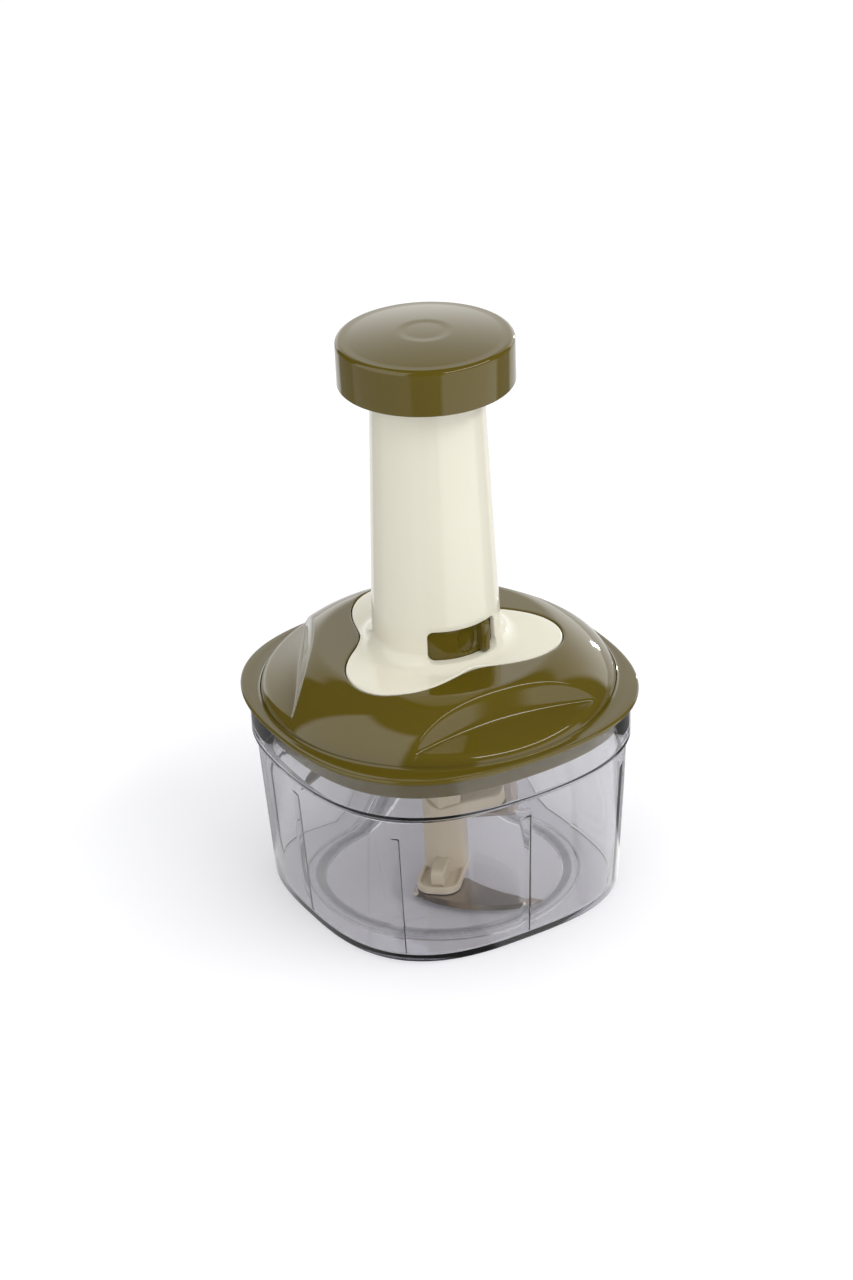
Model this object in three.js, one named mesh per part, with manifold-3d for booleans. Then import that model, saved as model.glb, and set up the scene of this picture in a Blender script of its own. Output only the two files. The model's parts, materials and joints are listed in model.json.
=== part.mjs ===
// Hand-pushed food chopper: a clear bowl, a domed lid and a plunger that spins three blades.
// Millimetres, +Z up. The origin is on the table under the middle of the bowl,
// and the bowl's flat sides face X and Y. The plunger is drawn locked down.

import * as THREE from 'three';
import { mergeVertices } from 'three/addons/utils/BufferGeometryUtils.js';
import Module from 'manifold-3d';

const wasm = await Module();
wasm.setup();

const turn = 2 * Math.PI;
const degree = Math.PI / 180;

// Fits and facets
const fitGap = 0.3;
const cutOverrun = 1;
const largeSides = 40;
const middleSides = 28;
const smallSides = 18;
const cornerSteps = 3;
const wrapSteps = 6;

// Bowl: a rounded square that flares to a collar, on a round foot ring
const bowlHeight = 80.4;
const collarReach = 66.3;
const collarOverhang = 3;
const bowlDraft = 3.8;
const bowlWall = 2.3;
const bowlFloor = 2;
const bowlEdgeRound = 3;
const bowlInnerRound = 5;
const cornerExponent = 2.85;
const collarHeight = 16;
const collarStep = 2;
const collarCornerShare = 0.72;
const footDepth = 0.8;
const footEdgeWidth = 3;
const footRingInset = 9.5;
const footRingWidth = 6.5;
const wallRibCount = 8;
const wallRibWidth = 1.4;
const wallRibDepth = 1.6;
const wallRibDrop = 26.4;
const pivotBossRadius = 7;
const pivotBossHeight = 1.4;
const pivotPinRadius = 2.5;
const pivotPinHeight = 25.8;
const pivotPinSunk = 2.4;
const pivotPinChamfer = 0.8;

// Blade rotor: a hexagonal stem with three forward clamps and a curved blade under each
const rotorTurn = -132 * degree;
const stemFlats = 15;
const stemRise = 3.6;
const stemLeadIn = 3;
const stemLeadShare = 0.8;
const bushWall = 1.2;
const bushHeight = 20;
const bladeThick = 0.9;
const bladeFloorGap = 0.7;
const tierCount = 3;
const tierHeadroom = 11.4;
const bladeWallGap = 1.6;
const lowerBladeInset = 8.5;
const lowerClampReach = 21.5;
const upperClampReach = 24;
const clampHalfWidth = 8;
const clampCornerRound = 6;
const clampThick = 1.5;
const clampRimHeight = 1.3;
const clampRimWidth = 1.4;
const gussetWidth = 6;
const gussetInset = 3;
const gussetHeight = 9;
const gussetRound = 2;
const bladeLead = 62 * degree;
const bladeSteps = 9;
const heelShares = [0.035, -0.486];
const edgeFirstShares = [0.42, -0.56];
const edgeSecondShares = [0.93, -0.36];
const backShares = [0.62, -0.13];

// Lid: flange, dome with three leaf-shaped finger recesses, and a plug that fits the collar
const lidTurn = -3 * degree;
const lobeCount = 3;
const lidWall = 2.2;
const flangeOverhang = 2.8;
const flangeThick = 2;
const flangeRound = 0.6;
const plugDepth = 8;
const plugFit = 0.4;
const domeInset = 3.1;
const domeFillet = 1.2;
const domeShoulderShare = 2 / 3;
const domeRise = 17.9;
const domePower = 4 / 3;
const domeSteps = 6;
const leafShelf = 1.2;
const leafArcRadius = 123;
const leafSides = 84;
const leafWallRun = 5.2;
const leafFloorTop = 7.8;
const leafFloorDrop = 3.3;
const leafLipRun = 1.1;
const leafLipRise = 3;
const lidBossRadius = 4;
const lidBossInset = 10;

// Handle housing: a tapered tube on a three-lobed plate that sits flush in the dome
const plateThick = 4;
const plateShare = 0.8455;
const lobeShare = 0.242;
const plateFit = 0.35;
const plateEdgeRound = 0.8;
const plateSides = 48;
const plateScrewInset = 9.2;
const tubeFootRadius = 23.7;
const tubeTopRadius = 20.05;
const tubeHeight = 115.4;
const tubeWall = 2.2;
const tubeFillet = 7;
const tubeFilletSteps = 4;
const lockRoomRadius = 22;
const windowHalfAngle = 32 * degree;
const windowSill = 2.9;
const windowHeight = 12;
const windowRound = 2.5;

// Lock ring: a turning shutter behind the window, with a nub to push and three latch teeth
const lockWall = 2.2;
const lockTravel = 40 * degree;
const lockToothCount = 3;
const lockToothAngle = 34 * degree;
const lockToothHeight = 2.2;
const nubPlace = 18 * degree;
const nubWidth = 3.4;
const nubProud = 3.4;
const nubRound = 1.2;
const thumbPlace = -2 * degree;
const thumbWidth = 8;
const thumbHeight = 8.5;
const thumbDepth = 1;
const thumbClearance = 1.2;

// Plunger: palm knob, tube and drive nut
const stroke = 75;
const knobRadius = 31.85;
const knobOverlap = 12.2;
const knobHeight = 19.3;
const knobWall = 2.6;
const knobEdgeRound = 4.7;
const knobRoundSteps = 3;
const knobDishRadius = 12;
const knobDishDepth = 0.8;
const knobDishEdge = 2;
const knobBossLength = 12;
const insertThick = 2.2;
const plungerRadius = 15;
const plungerBore = 12.5;
const plungerWeb = 2;
const stopFlangeRadius = 18.2;
const stopFlangeThick = 2.5;
const stopNotchDepth = 1.9;
const nutHeight = 10;
const nutFloorGap = 1.2;

// Helical drive: a twisted flat bar through the nut, and the ratchet under it
const lead = 50;
const barWidth = 9.4;
const barThick = 3.4;
const barEndSteps = 3;
const barFlatSteps = 3;
const barFit = 0.4;
const barStepAngle = 15 * degree;
const spindleHeadroom = 3.2;
const journalRadius = 5;
const bearingThick = 2.6;
const bearingBossRadius = 8.5;
const bearingBossHeight = 5;
const washerRadius = 9.5;
const washerThick = 1.7;
const ratchetRadius = 11;
const ratchetHeight = 3.7;
const ratchetInner = 5.8;
const ratchetTeeth = 12;
const ratchetToothHeight = 2;
const ratchetToothWidth = 2.3;
const crossPinRadius = 1.2;
const socketRadius = 11.5;
const socketFlangeRadius = 14.5;
const socketFlangeThick = 2.2;
const socketDeck = 3.2;

// Drive cover and its bush under the dome
const coverThick = 2;
const coverRecess = 2;
const coverCollarHeight = 4.5;
const coverCollarWall = 2.8;
const lowerBushWall = 1.7;
const lowerBushFlange = 1.2;

// Return spring
const springWire = 1.3;
const springRadius = 17;
const springCoils = 6;
const springSteps = 8;
const springSides = 5;

// Guide bush at the top of the housing
const guideFlange = 1;

// Screws
const screwRadius = 1.5;
const screwHeadRadius = 3;
const screwHeadHeight = 1.9;
const screwHeadEdge = 0.9;
const housingScrewLength = 5;
const coverScrewLength = 7;
const knobScrewLength = 10;

// Reaches that follow from the sizes above
const bowlNeckReach = collarReach - collarOverhang;
const bowlBaseReach = bowlNeckReach - bowlDraft;
const footRingOuter = bowlBaseReach - footRingInset;
const footRingInner = footRingOuter - footRingWidth;
const upperBladeReach = bowlBaseReach - bowlWall - wallRibDepth - bladeWallGap;
const lowerBladeReach = upperBladeReach - lowerBladeInset;
const flangeReach = collarReach + flangeOverhang;
const domeBaseRadius = flangeReach - domeInset;
const domeShoulderRadius = domeBaseRadius * domeShoulderShare;
const leafMiddle = domeShoulderRadius + leafShelf;
const leafFloorRun = domeBaseRadius - leafMiddle - leafWallRun;
const lidBossPlace = domeBaseRadius - lidBossInset;
const plateRadius = domeShoulderRadius * plateShare;
const lobeRise = plateRadius * lobeShare;
const plateScrewPlace = plateRadius + lobeRise - plateScrewInset;

// Heights that follow from the sizes above
const floorTop = footDepth + bowlFloor;
const wallRibTop = bowlHeight - wallRibDrop;
const stemTop = bowlHeight + stemRise;
const tierRise = (bowlHeight - tierHeadroom) / tierCount;
const pivotBossTop = floorTop + pivotBossHeight;
const flangeBottom = bowlHeight + fitGap;
const flangeTop = flangeBottom + flangeThick;
const domeTop = flangeTop + domeRise;
const plateTop = domeTop;
const plateBottom = plateTop - plateThick;
const tubeTop = plateTop + tubeHeight;
const windowBottom = plateTop + windowSill;
const windowTop = windowBottom + windowHeight;
const knobBottom = tubeTop - knobOverlap;
const knobTop = knobBottom + knobHeight;
const recessFloor = plateBottom - fitGap;
const plugBottom = flangeBottom - plugDepth;
const coverBottom = plugBottom + coverRecess;
const coverTop = coverBottom + coverThick;
const coverCollarTop = coverTop + coverCollarHeight;
const bushFlangeTop = coverCollarTop + fitGap + lowerBushFlange;
const socketFlangeBottom = bushFlangeTop + fitGap;
const socketBottom = coverBottom + fitGap;
const socketTop = stemTop + fitGap + socketDeck;
const bearingBottom = recessFloor + fitGap;
const bearingTop = bearingBottom + bearingThick;
const bearingBossTop = bearingTop + bearingBossHeight;
const ratchetTop = bearingBottom - fitGap - washerThick - fitGap;
const springBottom = bearingTop + fitGap;
const plungerBottom = bearingBossTop + nutFloorGap;
const stopFlangeTop = windowTop - fitGap;
const stopFlangeBottom = stopFlangeTop - stopFlangeThick;
const springTop = stopFlangeBottom - fitGap;
const lockBottom = bearingTop + fitGap;
const nubHeight = windowHeight - 2 * fitGap;
const lockTop = stopFlangeTop + fitGap + lockToothHeight;
const lockRadius = lockRoomRadius - fitGap;
const lockRoomTop = lockTop + fitGap;
const guideBottom = stopFlangeTop + stroke + fitGap;
const knobCeiling = knobTop - knobDishDepth - knobWall;
const webTop = knobCeiling - knobBossLength - fitGap;
const knobScrewHead = webTop - plungerWeb - fitGap;
const spindleTop = knobScrewHead - screwHeadHeight - spindleHeadroom;

// Welds the seams of a geometry and leaves out the triangles that the weld closes up.
function weld(geometry) {
  geometry.deleteAttribute('normal');
  geometry.deleteAttribute('uv');
  const welded = mergeVertices(geometry);
  const corners = welded.index.array;
  const kept = [];
  for (let i = 0; i < corners.length; i += 3) {
    const [a, b, c] = [corners[i], corners[i + 1], corners[i + 2]];
    if (a !== b && b !== c && c !== a) kept.push(a, b, c);
  }
  welded.setIndex(kept);
  return welded;
}

// A closed geometry as a solid that can be joined and cut.
function solid(geometry) {
  const welded = weld(geometry);
  return new wasm.Manifold(new wasm.Mesh({
    numProp: 3,
    vertProperties: new Float32Array(welded.attributes.position.array),
    triVerts: new Uint32Array(welded.index.array),
  }));
}

// A solid back as a geometry.
function shell(body) {
  const mesh = body.getMesh();
  const geometry = new THREE.BufferGeometry();
  geometry.setAttribute('position', new THREE.BufferAttribute(mesh.vertProperties, mesh.numProp));
  geometry.setIndex(new THREE.BufferAttribute(mesh.triVerts, 1));
  return geometry;
}

// How far a rounded square of half-width one reaches at an angle.
function squareReach(angle) {
  const across = Math.abs(Math.cos(angle)) ** cornerExponent;
  const along = Math.abs(Math.sin(angle)) ** cornerExponent;
  return (across + along) ** (-1 / cornerExponent);
}

// Turns rows of [radius, height, corner share] round Z. A corner share of one gives
// the rounded square, zero a circle. Rows run counter-clockwise, solid on the left.
function turned(rows, sides) {
  const lathe = new THREE.LatheGeometry(rows.map(([r, z]) => new THREE.Vector2(r, z)), sides);
  lathe.rotateX(turn / 4);
  const place = lathe.attributes.position;
  for (let i = 0; i < place.count; i += 1) {
    const share = rows[i % rows.length][2] ?? 0;
    const reach = 1 + share * (squareReach(Math.atan2(place.getY(i), place.getX(i))) - 1);
    place.setXY(i, place.getX(i) * reach, place.getY(i) * reach);
  }
  return lathe;
}

// A ring turned from rows that close on themselves.
function turnedRing(rows, sides) {
  return turned([...rows, rows[0]], sides);
}

// A plain washer or sleeve.
function sleeve(inner, outer, bottom, top, sides) {
  return turnedRing([[inner, bottom], [outer, bottom], [outer, top], [inner, top]], sides);
}

// A plain round bar along Z.
function bar(radius, bottom, top, sides) {
  return turned([[0, bottom], [radius, bottom], [radius, top], [0, top]], sides);
}

// A flat outline raised from one height to another.
function raised(outline, bottom, top, steps = 1, curveSegments = cornerSteps) {
  const geometry = new THREE.ExtrudeGeometry(outline, {
    depth: top - bottom, steps, bevelEnabled: false, curveSegments,
  });
  return geometry.translate(0, 0, bottom);
}

// A rectangle with rounded corners.
function roundedRectangle(left, bottom, right, top, radius) {
  const outline = new THREE.Shape();
  outline.moveTo(left + radius, bottom);
  outline.lineTo(right - radius, bottom);
  outline.absarc(right - radius, bottom + radius, radius, -turn / 4, 0);
  outline.lineTo(right, top - radius);
  outline.absarc(right - radius, top - radius, radius, 0, turn / 4);
  outline.lineTo(left + radius, top);
  outline.absarc(left + radius, top - radius, radius, turn / 4, turn / 2);
  outline.lineTo(left, bottom + radius);
  outline.absarc(left + radius, bottom + radius, radius, turn / 2, 3 * turn / 4);
  return outline;
}

// A regular polygon with a corner at angle zero.
function polygon(radius, sides) {
  const outline = new THREE.Shape();
  for (let i = 0; i < sides; i += 1) {
    const point = [radius * Math.cos(turn * i / sides), radius * Math.sin(turn * i / sides)];
    if (i === 0) outline.moveTo(...point);
    else outline.lineTo(...point);
  }
  outline.closePath();
  return outline;
}

// Rows along a quarter round from one point to another, bulging as a circle does.
function quarterRound(centreR, centreZ, radius, from, to, steps, share) {
  const rows = [];
  for (let i = 0; i <= steps; i += 1) {
    const angle = from + (to - from) * i / steps;
    rows.push([centreR + radius * Math.cos(angle), centreZ + radius * Math.sin(angle), share]);
  }
  return rows;
}

// A screw standing on its head, driven up along +Z.
function screw(length) {
  return turned([
    [0, -screwHeadHeight],
    [screwHeadRadius - screwHeadEdge, -screwHeadHeight],
    [screwHeadRadius, screwHeadEdge - screwHeadHeight],
    [screwHeadRadius, 0],
    [screwRadius, 0],
    [screwRadius, length - screwRadius],
    [0, length],
  ], smallSides / 2);
}

// Copies a solid round Z and joins the copies.
function copiedRound(body, count, start = 0) {
  let joined = null;
  for (let i = 0; i < count; i += 1) {
    const copy = body.rotate([0, 0, (start + turn * i / count) / degree]);
    joined = joined ? joined.add(copy) : copy;
  }
  return joined;
}

function bowlInnerReach(z) {
  const rise = (z - floorTop) / (bowlHeight - collarHeight - floorTop);
  return bowlBaseReach - bowlWall + (bowlNeckReach - bowlBaseReach) * rise;
}

function makeBowl() {
  const neck = bowlHeight - collarHeight;
  const rimRound = bowlWall / 3;
  const edge = quarterRound(
    bowlBaseReach - bowlEdgeRound, bowlEdgeRound, bowlEdgeRound, -turn / 4, 0, cornerSteps, 1);
  const inside = quarterRound(
    bowlBaseReach - bowlWall - bowlInnerRound, floorTop + bowlInnerRound, bowlInnerRound,
    0, -turn / 4, cornerSteps, 1);
  const pinHole = pivotPinRadius + fitGap;
  const body = solid(turned([
    [0, footDepth],
    [footRingInner, footDepth],
    [footRingInner, 0],
    [footRingOuter, 0],
    [footRingOuter, footDepth],
    [bowlBaseReach - bowlEdgeRound - footEdgeWidth, footDepth, 1],
    ...edge,
    [bowlNeckReach, neck - collarStep, 1],
    [collarReach, neck, collarCornerShare],
    [collarReach, bowlHeight - rimRound, collarCornerShare],
    [collarReach - rimRound, bowlHeight, collarCornerShare],
    [collarReach - bowlWall + rimRound, bowlHeight, collarCornerShare],
    [collarReach - bowlWall, bowlHeight - rimRound, collarCornerShare],
    [collarReach - bowlWall, neck + collarStep / 2, collarCornerShare],
    [bowlNeckReach - bowlWall, neck - collarStep / 2, 1],
    ...inside,
    [footRingOuter, floorTop],
    [pivotBossRadius, floorTop],
    [pivotBossRadius, pivotBossTop],
    [pinHole, pivotBossTop],
    [pinHole, pivotBossTop - pivotPinSunk - fitGap],
    [0, pivotBossTop - pivotPinSunk - fitGap],
  ], largeSides));
  let ribbed = body;
  for (let i = 0; i < wallRibCount; i += 1) {
    const angle = turn * i / wallRibCount;
    const reach = squareReach(angle);
    const low = bowlInnerReach(floorTop) * reach;
    const high = bowlInnerReach(wallRibTop) * reach;
    const profile = new THREE.Shape();
    profile.moveTo(low - bowlInnerRound, floorTop - bowlFloor / 2);
    profile.lineTo(low, floorTop - bowlFloor / 2);
    profile.lineTo(low + bowlWall / 2, floorTop + bowlInnerRound);
    profile.lineTo(high + bowlWall / 2, wallRibTop);
    profile.lineTo(high - wallRibDepth, wallRibTop);
    profile.lineTo(low - wallRibDepth, floorTop + bowlInnerRound);
    const plate = new THREE.ExtrudeGeometry(profile, { depth: wallRibWidth, bevelEnabled: false });
    plate.translate(0, 0, -wallRibWidth / 2).rotateX(turn / 4).rotateZ(angle);
    ribbed = ribbed.add(solid(plate));
  }
  return shell(ribbed);
}

function makePivotPin() {
  return turned([
    [0, 0],
    [pivotPinRadius, 0],
    [pivotPinRadius, pivotPinHeight + pivotPinSunk - pivotPinChamfer],
    [pivotPinRadius - pivotPinChamfer, pivotPinHeight + pivotPinSunk],
    [0, pivotPinHeight + pivotPinSunk],
  ], smallSides);
}

// Heights of one tier of the rotor, from the lowest blade up.
function tierBladeBottom(tier) {
  return floorTop + bladeFloorGap + tier * tierRise;
}

function tierClampBottom(tier) {
  return tierBladeBottom(tier) + bladeThick + fitGap;
}

// A clamp: a rimmed tongue in front of the stem, stiffened by a gusset.
function makeClamp(tier) {
  const reach = tier === 0 ? lowerClampReach : upperClampReach;
  const bottom = tierClampBottom(tier);
  const top = bottom + clampThick + clampRimHeight;
  const outer = roundedRectangle(-clampHalfWidth, -clampHalfWidth, reach, clampHalfWidth, clampCornerRound);
  const pocketHalf = clampHalfWidth - clampRimWidth;
  const pocket = roundedRectangle(
    -pocketHalf, -pocketHalf, reach - clampRimWidth, pocketHalf, clampCornerRound - clampRimWidth);
  const side = roundedRectangle(
    0, bottom + clampThick / 2, reach - gussetInset, bottom + clampThick + gussetHeight, gussetRound);
  const gusset = new THREE.ExtrudeGeometry(side, {
    depth: gussetWidth, bevelEnabled: false, curveSegments: cornerSteps,
  });
  gusset.translate(0, 0, -gussetWidth / 2).rotateX(turn / 4);
  return solid(raised(outer, bottom, top))
    .subtract(solid(raised(pocket, bottom + clampThick, top + cutOverrun)))
    .add(solid(gusset));
}

function hexagon(flats, bottom, top, topShare = 1) {
  const radius = flats / Math.sqrt(3);
  const prism = new THREE.CylinderGeometry(radius * topShare, radius, top - bottom, 6);
  return prism.rotateX(turn / 4).translate(0, 0, (bottom + top) / 2);
}

function makeStem() {
  const bottom = pivotBossTop + fitGap;
  const bore = pivotPinRadius + fitGap + bushWall + fitGap;
  let stem = solid(hexagon(stemFlats, bottom, stemTop - stemLeadIn))
    .add(solid(hexagon(stemFlats, stemTop - stemLeadIn, stemTop, stemLeadShare)));
  for (let tier = 0; tier < tierCount; tier += 1) {
    stem = stem.add(makeClamp(tier).rotate([0, 0, tier * 360 / tierCount]));
  }
  const hole = bar(bore, bottom - cutOverrun, pivotBossTop + pivotPinHeight + fitGap, smallSides);
  return shell(stem.subtract(solid(hole)));
}

function makePivotBush() {
  const inner = pivotPinRadius + fitGap;
  return sleeve(inner, inner + bushWall, 0, bushHeight, smallSides);
}

// A curved blade. Its outline is drawn with the tip on +X, its root runs along the stem's
// flat side, and the clamp points along +X once the blade is turned by the lead angle.
function makeBlade(tier) {
  const reach = tier === 0 ? lowerBladeReach : upperBladeReach;
  const near = stemFlats / 2 + fitGap;
  const axis = new THREE.Vector2();
  const rootPoint = (across) => new THREE.Vector2(near, across).rotateAround(axis, -bladeLead);
  const rootEnd = rootPoint(clampHalfWidth + clampRimWidth);
  const rootStart = rootPoint(-clampHalfWidth);
  const at = ([x, y]) => [x * reach, y * reach];
  const outline = new THREE.Shape();
  outline.moveTo(...at(heelShares));
  outline.bezierCurveTo(...at(edgeFirstShares), ...at(edgeSecondShares), reach, 0);
  outline.quadraticCurveTo(...at(backShares), rootEnd.x, rootEnd.y);
  outline.lineTo(rootStart.x, rootStart.y);
  outline.closePath();
  return raised(outline, 0, bladeThick, 1, bladeSteps).rotateZ(bladeLead);
}

// The dome's flank from its base circle up to the shoulder, moved in by a wall.
function domeRows(inset, steps) {
  const rows = [];
  for (let i = 0; i <= steps; i += 1) {
    const angle = turn / 4 * i / steps;
    const run = (domeBaseRadius - inset - domeShoulderRadius) * Math.cos(angle) ** domePower;
    rows.push([domeShoulderRadius + run, flangeTop + (domeRise - inset) * Math.sin(angle) ** domePower]);
  }
  return rows;
}

// The tool that cuts a leaf recess: a shallow dished ring about a far upright axis.
function leafTool(grow, sides) {
  const centre = leafMiddle + leafArcRadius;
  const wallTop = leafArcRadius + grow;
  const crease = leafArcRadius - leafWallRun + grow;
  const floorZ = flangeTop + leafFloorTop - grow;
  const outer = crease - leafFloorRun - grow;
  const high = domeTop + cutOverrun;
  const ring = turnedRing([
    [outer - cutOverrun, floorZ - leafFloorDrop],
    [crease - leafWallRun / 2, floorZ],
    [crease + leafWallRun / 4, floorZ + leafWallRun / 4],
    [wallTop - leafLipRun, domeTop - leafLipRise - grow],
    [wallTop + leafLipRun, high],
    [outer - cutOverrun, high],
  ], sides);
  return solid(ring.translate(centre, 0, 0));
}

// The plate's three-lobed outline, grown by a margin.
function lobeOutline(margin) {
  const outline = new THREE.Shape();
  for (let i = 0; i < plateSides; i += 1) {
    const angle = turn * i / plateSides;
    const radius = plateRadius + lobeRise * Math.cos(lobeCount * angle) + margin;
    const point = [radius * Math.cos(angle), radius * Math.sin(angle)];
    if (i === 0) outline.moveTo(...point);
    else outline.lineTo(...point);
  }
  outline.closePath();
  return outline;
}

// Lobes point along the screws, and the leaves lie between them.
const lobeStart = lidTurn + turn / 4;
const leafStart = lobeStart + turn / 2;

function makeLidCover() {
  const plugReach = collarReach - bowlWall - plugFit;
  const share = collarCornerShare;
  const outside = solid(turned([
    [0, plugBottom],
    [plugReach, plugBottom, share],
    [plugReach, flangeBottom, share],
    [flangeReach - flangeRound, flangeBottom, share],
    [flangeReach, flangeBottom + flangeRound, share],
    [flangeReach, flangeTop - flangeRound, share],
    [flangeReach - flangeRound, flangeTop, share],
    [domeBaseRadius + domeFillet, flangeTop],
    ...domeRows(0, domeSteps).slice(1),
    [0, domeTop],
  ], largeSides));
  const leaves = copiedRound(leafTool(0, leafSides), lobeCount, leafStart);
  const recess = solid(raised(lobeOutline(plateFit), recessFloor, domeTop + cutOverrun))
    .rotate([0, 0, lobeStart / degree]);
  const underRecess = solid(raised(lobeOutline(plateFit + lidWall), recessFloor - lidWall, domeTop))
    .rotate([0, 0, lobeStart / degree]);
  const inside = solid(turned([
    [0, plugBottom - cutOverrun],
    [plugReach - lidWall, plugBottom - cutOverrun, share],
    [plugReach - lidWall, flangeBottom - lidWall, share],
    [domeBaseRadius - lidWall, flangeBottom],
    ...domeRows(lidWall, domeSteps / 2),
    [0, domeTop - lidWall],
  ], largeSides))
    .subtract(underRecess)
    .subtract(copiedRound(leafTool(lidWall, leafSides / 2), lobeCount, leafStart));
  const bossTop = flangeTop + leafFloorTop - lidWall;
  const boss = solid(bar(lidBossRadius, coverTop + fitGap, bossTop, smallSides / 2)
    .translate(lidBossPlace, 0, 0));
  const bossHole = solid(bar(
    screwRadius + fitGap, coverTop - cutOverrun, coverTop + coverScrewLength, smallSides / 2)
    .translate(lidBossPlace, 0, 0));
  const screwHole = solid(bar(
    screwRadius + fitGap, recessFloor - lidWall - cutOverrun, plateTop, smallSides / 2)
    .translate(plateScrewPlace, 0, 0));
  const middleHole = solid(bar(
    socketFlangeRadius + fitGap, recessFloor - lidWall - cutOverrun, plateTop, middleSides));
  return shell(outside
    .subtract(leaves)
    .subtract(inside)
    .subtract(recess)
    .add(copiedRound(boss, lobeCount, leafStart))
    .subtract(copiedRound(bossHole, lobeCount, leafStart))
    .subtract(copiedRound(screwHole, lobeCount, lobeStart))
    .subtract(middleHole));
}

function tubeRadius(z) {
  return tubeFootRadius + (tubeTopRadius - tubeFootRadius) * (z - plateTop) / (tubeTop - plateTop);
}

function makeHousing() {
  const fillet = quarterRound(
    tubeRadius(plateTop) + tubeFillet, plateTop + tubeFillet, tubeFillet,
    3 * turn / 4, turn / 2, tubeFilletSteps, 0);
  const tube = solid(turnedRing([
    [lockRoomRadius, plateBottom],
    [tubeRadius(plateTop) + tubeFillet, plateBottom],
    ...fillet,
    [tubeTopRadius, tubeTop],
    [tubeTopRadius - tubeWall, tubeTop],
    [tubeRadius(lockRoomTop) - tubeWall, lockRoomTop],
    [lockRoomRadius, lockRoomTop],
  ], middleSides));
  const plate = new THREE.ExtrudeGeometry(lobeOutline(-plateEdgeRound), {
    depth: plateThick - plateEdgeRound, bevelThickness: plateEdgeRound, bevelSize: plateEdgeRound,
    bevelSegments: 1,
  });
  const plateBody = solid(plate.translate(0, 0, plateBottom))
    .subtract(solid(bar(lockRoomRadius, plateBottom - plateThick, plateTop + cutOverrun, middleSides)))
    .intersect(solid(bar(flangeReach, plateBottom, plateTop + cutOverrun, smallSides)))
    .rotate([0, 0, lobeStart / degree]);
  const screwHole = solid(bar(
    screwRadius + fitGap, plateBottom - cutOverrun, plateTop - plateEdgeRound, smallSides / 2)
    .translate(plateScrewPlace, 0, 0));
  const footprint = solid(raised(lobeOutline(0), plateBottom - cutOverrun, tubeTop + cutOverrun))
    .rotate([0, 0, lobeStart / degree]);
  return shell(tube.intersect(footprint)
    .add(plateBody)
    .subtract(copiedRound(screwHole, lobeCount, lobeStart))
    .subtract(windowTool()));
}

// A curved block of the window's outline, centred on the leaf side of the tube.
function windowTool() {
  const halfWidth = lockRoomRadius * windowHalfAngle;
  const outline = roundedRectangle(-halfWidth, windowBottom, halfWidth, windowTop, windowRound);
  return solid(wrapped(outline, lockRoomRadius, -cutOverrun / 2, tubeFillet, lidTurn - turn / 4));
}

// Wraps a flat outline of [arc length, height] round a cylinder, as a block that reaches
// from one depth to another off the cylinder, centred at an azimuth.
function wrapped(outline, radius, inward, outward, azimuth) {
  const flat = new THREE.ExtrudeGeometry(outline, {
    depth: outward - inward, bevelEnabled: false, curveSegments: cornerSteps,
  });
  const geometry = shell(solid(flat).refineToLength(2 * radius * windowHalfAngle / wrapSteps));
  const place = geometry.attributes.position;
  for (let i = 0; i < place.count; i += 1) {
    const angle = azimuth + place.getX(i) / radius;
    const reach = radius + inward + place.getZ(i);
    place.setXYZ(i, reach * Math.cos(angle), reach * Math.sin(angle), place.getY(i));
  }
  return geometry;
}

function makeLockRing() {
  const inner = lockRadius - lockWall;
  const ring = solid(sleeve(inner, lockRadius, lockBottom, lockTop, middleSides));
  const lip = solid(sleeve(
    stopFlangeRadius + fitGap, lockRadius - lockWall / 2, lockTop - lockToothHeight, lockTop, middleSides));
  const wedge = solid(sector(lockRadius, lockToothAngle, lockTop - lockToothHeight, lockTop));
  const teeth = lip.intersect(copiedRound(wedge, lockToothCount, lidTurn - turn / 4));
  const azimuth = lidTurn - turn / 4;
  const middle = (windowBottom + windowTop) / 2;
  const nub = new THREE.ExtrudeGeometry(
    roundedRectangle(-nubWidth / 2, middle - nubHeight / 2, nubWidth / 2, middle + nubHeight / 2, nubRound),
    { depth: lockWall / 2 + nubProud, bevelEnabled: false, curveSegments: cornerSteps });
  nub.rotateX(turn / 4).translate(0, -lockRadius + lockWall / 2, 0);
  const placed = solid(nub).rotate([0, 0, (lidTurn + nubPlace) / degree]);
  const halfThumb = thumbWidth / 2;
  const thumbTop = windowTop + thumbClearance;
  const thumb = roundedRectangle(
    -halfThumb, thumbTop - thumbHeight, halfThumb, thumbTop, halfThumb - cutOverrun / 2);
  const dish = solid(wrapped(thumb, lockRadius, -thumbDepth, cutOverrun, azimuth + thumbPlace));
  return shell(ring.add(teeth).subtract(dish).add(placed));
}

// A pie slice about +X.
function sector(radius, angle, bottom, top) {
  const outline = new THREE.Shape();
  outline.moveTo(0, 0);
  outline.absarc(0, 0, radius, -angle / 2, angle / 2);
  outline.closePath();
  return raised(outline, bottom, top);
}

function makeKnobCap() {
  const innerRadius = knobRadius - knobWall;
  const edge = quarterRound(
    knobRadius - knobEdgeRound, knobTop - knobEdgeRound, knobEdgeRound, 0, turn / 4, knobRoundSteps, 0);
  const bossRadius = plungerBore - fitGap;
  const hole = screwRadius + fitGap;
  return turned([
    [0, knobCeiling - fitGap],
    [hole, knobCeiling - fitGap],
    [hole, knobCeiling - knobBossLength],
    [bossRadius, knobCeiling - knobBossLength],
    [bossRadius, knobCeiling],
    [innerRadius - knobWall, knobCeiling],
    [innerRadius, knobCeiling - knobWall],
    [innerRadius, knobBottom],
    [knobRadius, knobBottom],
    ...edge,
    [knobDishRadius + knobDishEdge, knobTop],
    [knobDishRadius, knobTop - knobDishDepth],
    [0, knobTop - knobDishDepth],
  ], middleSides);
}

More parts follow.
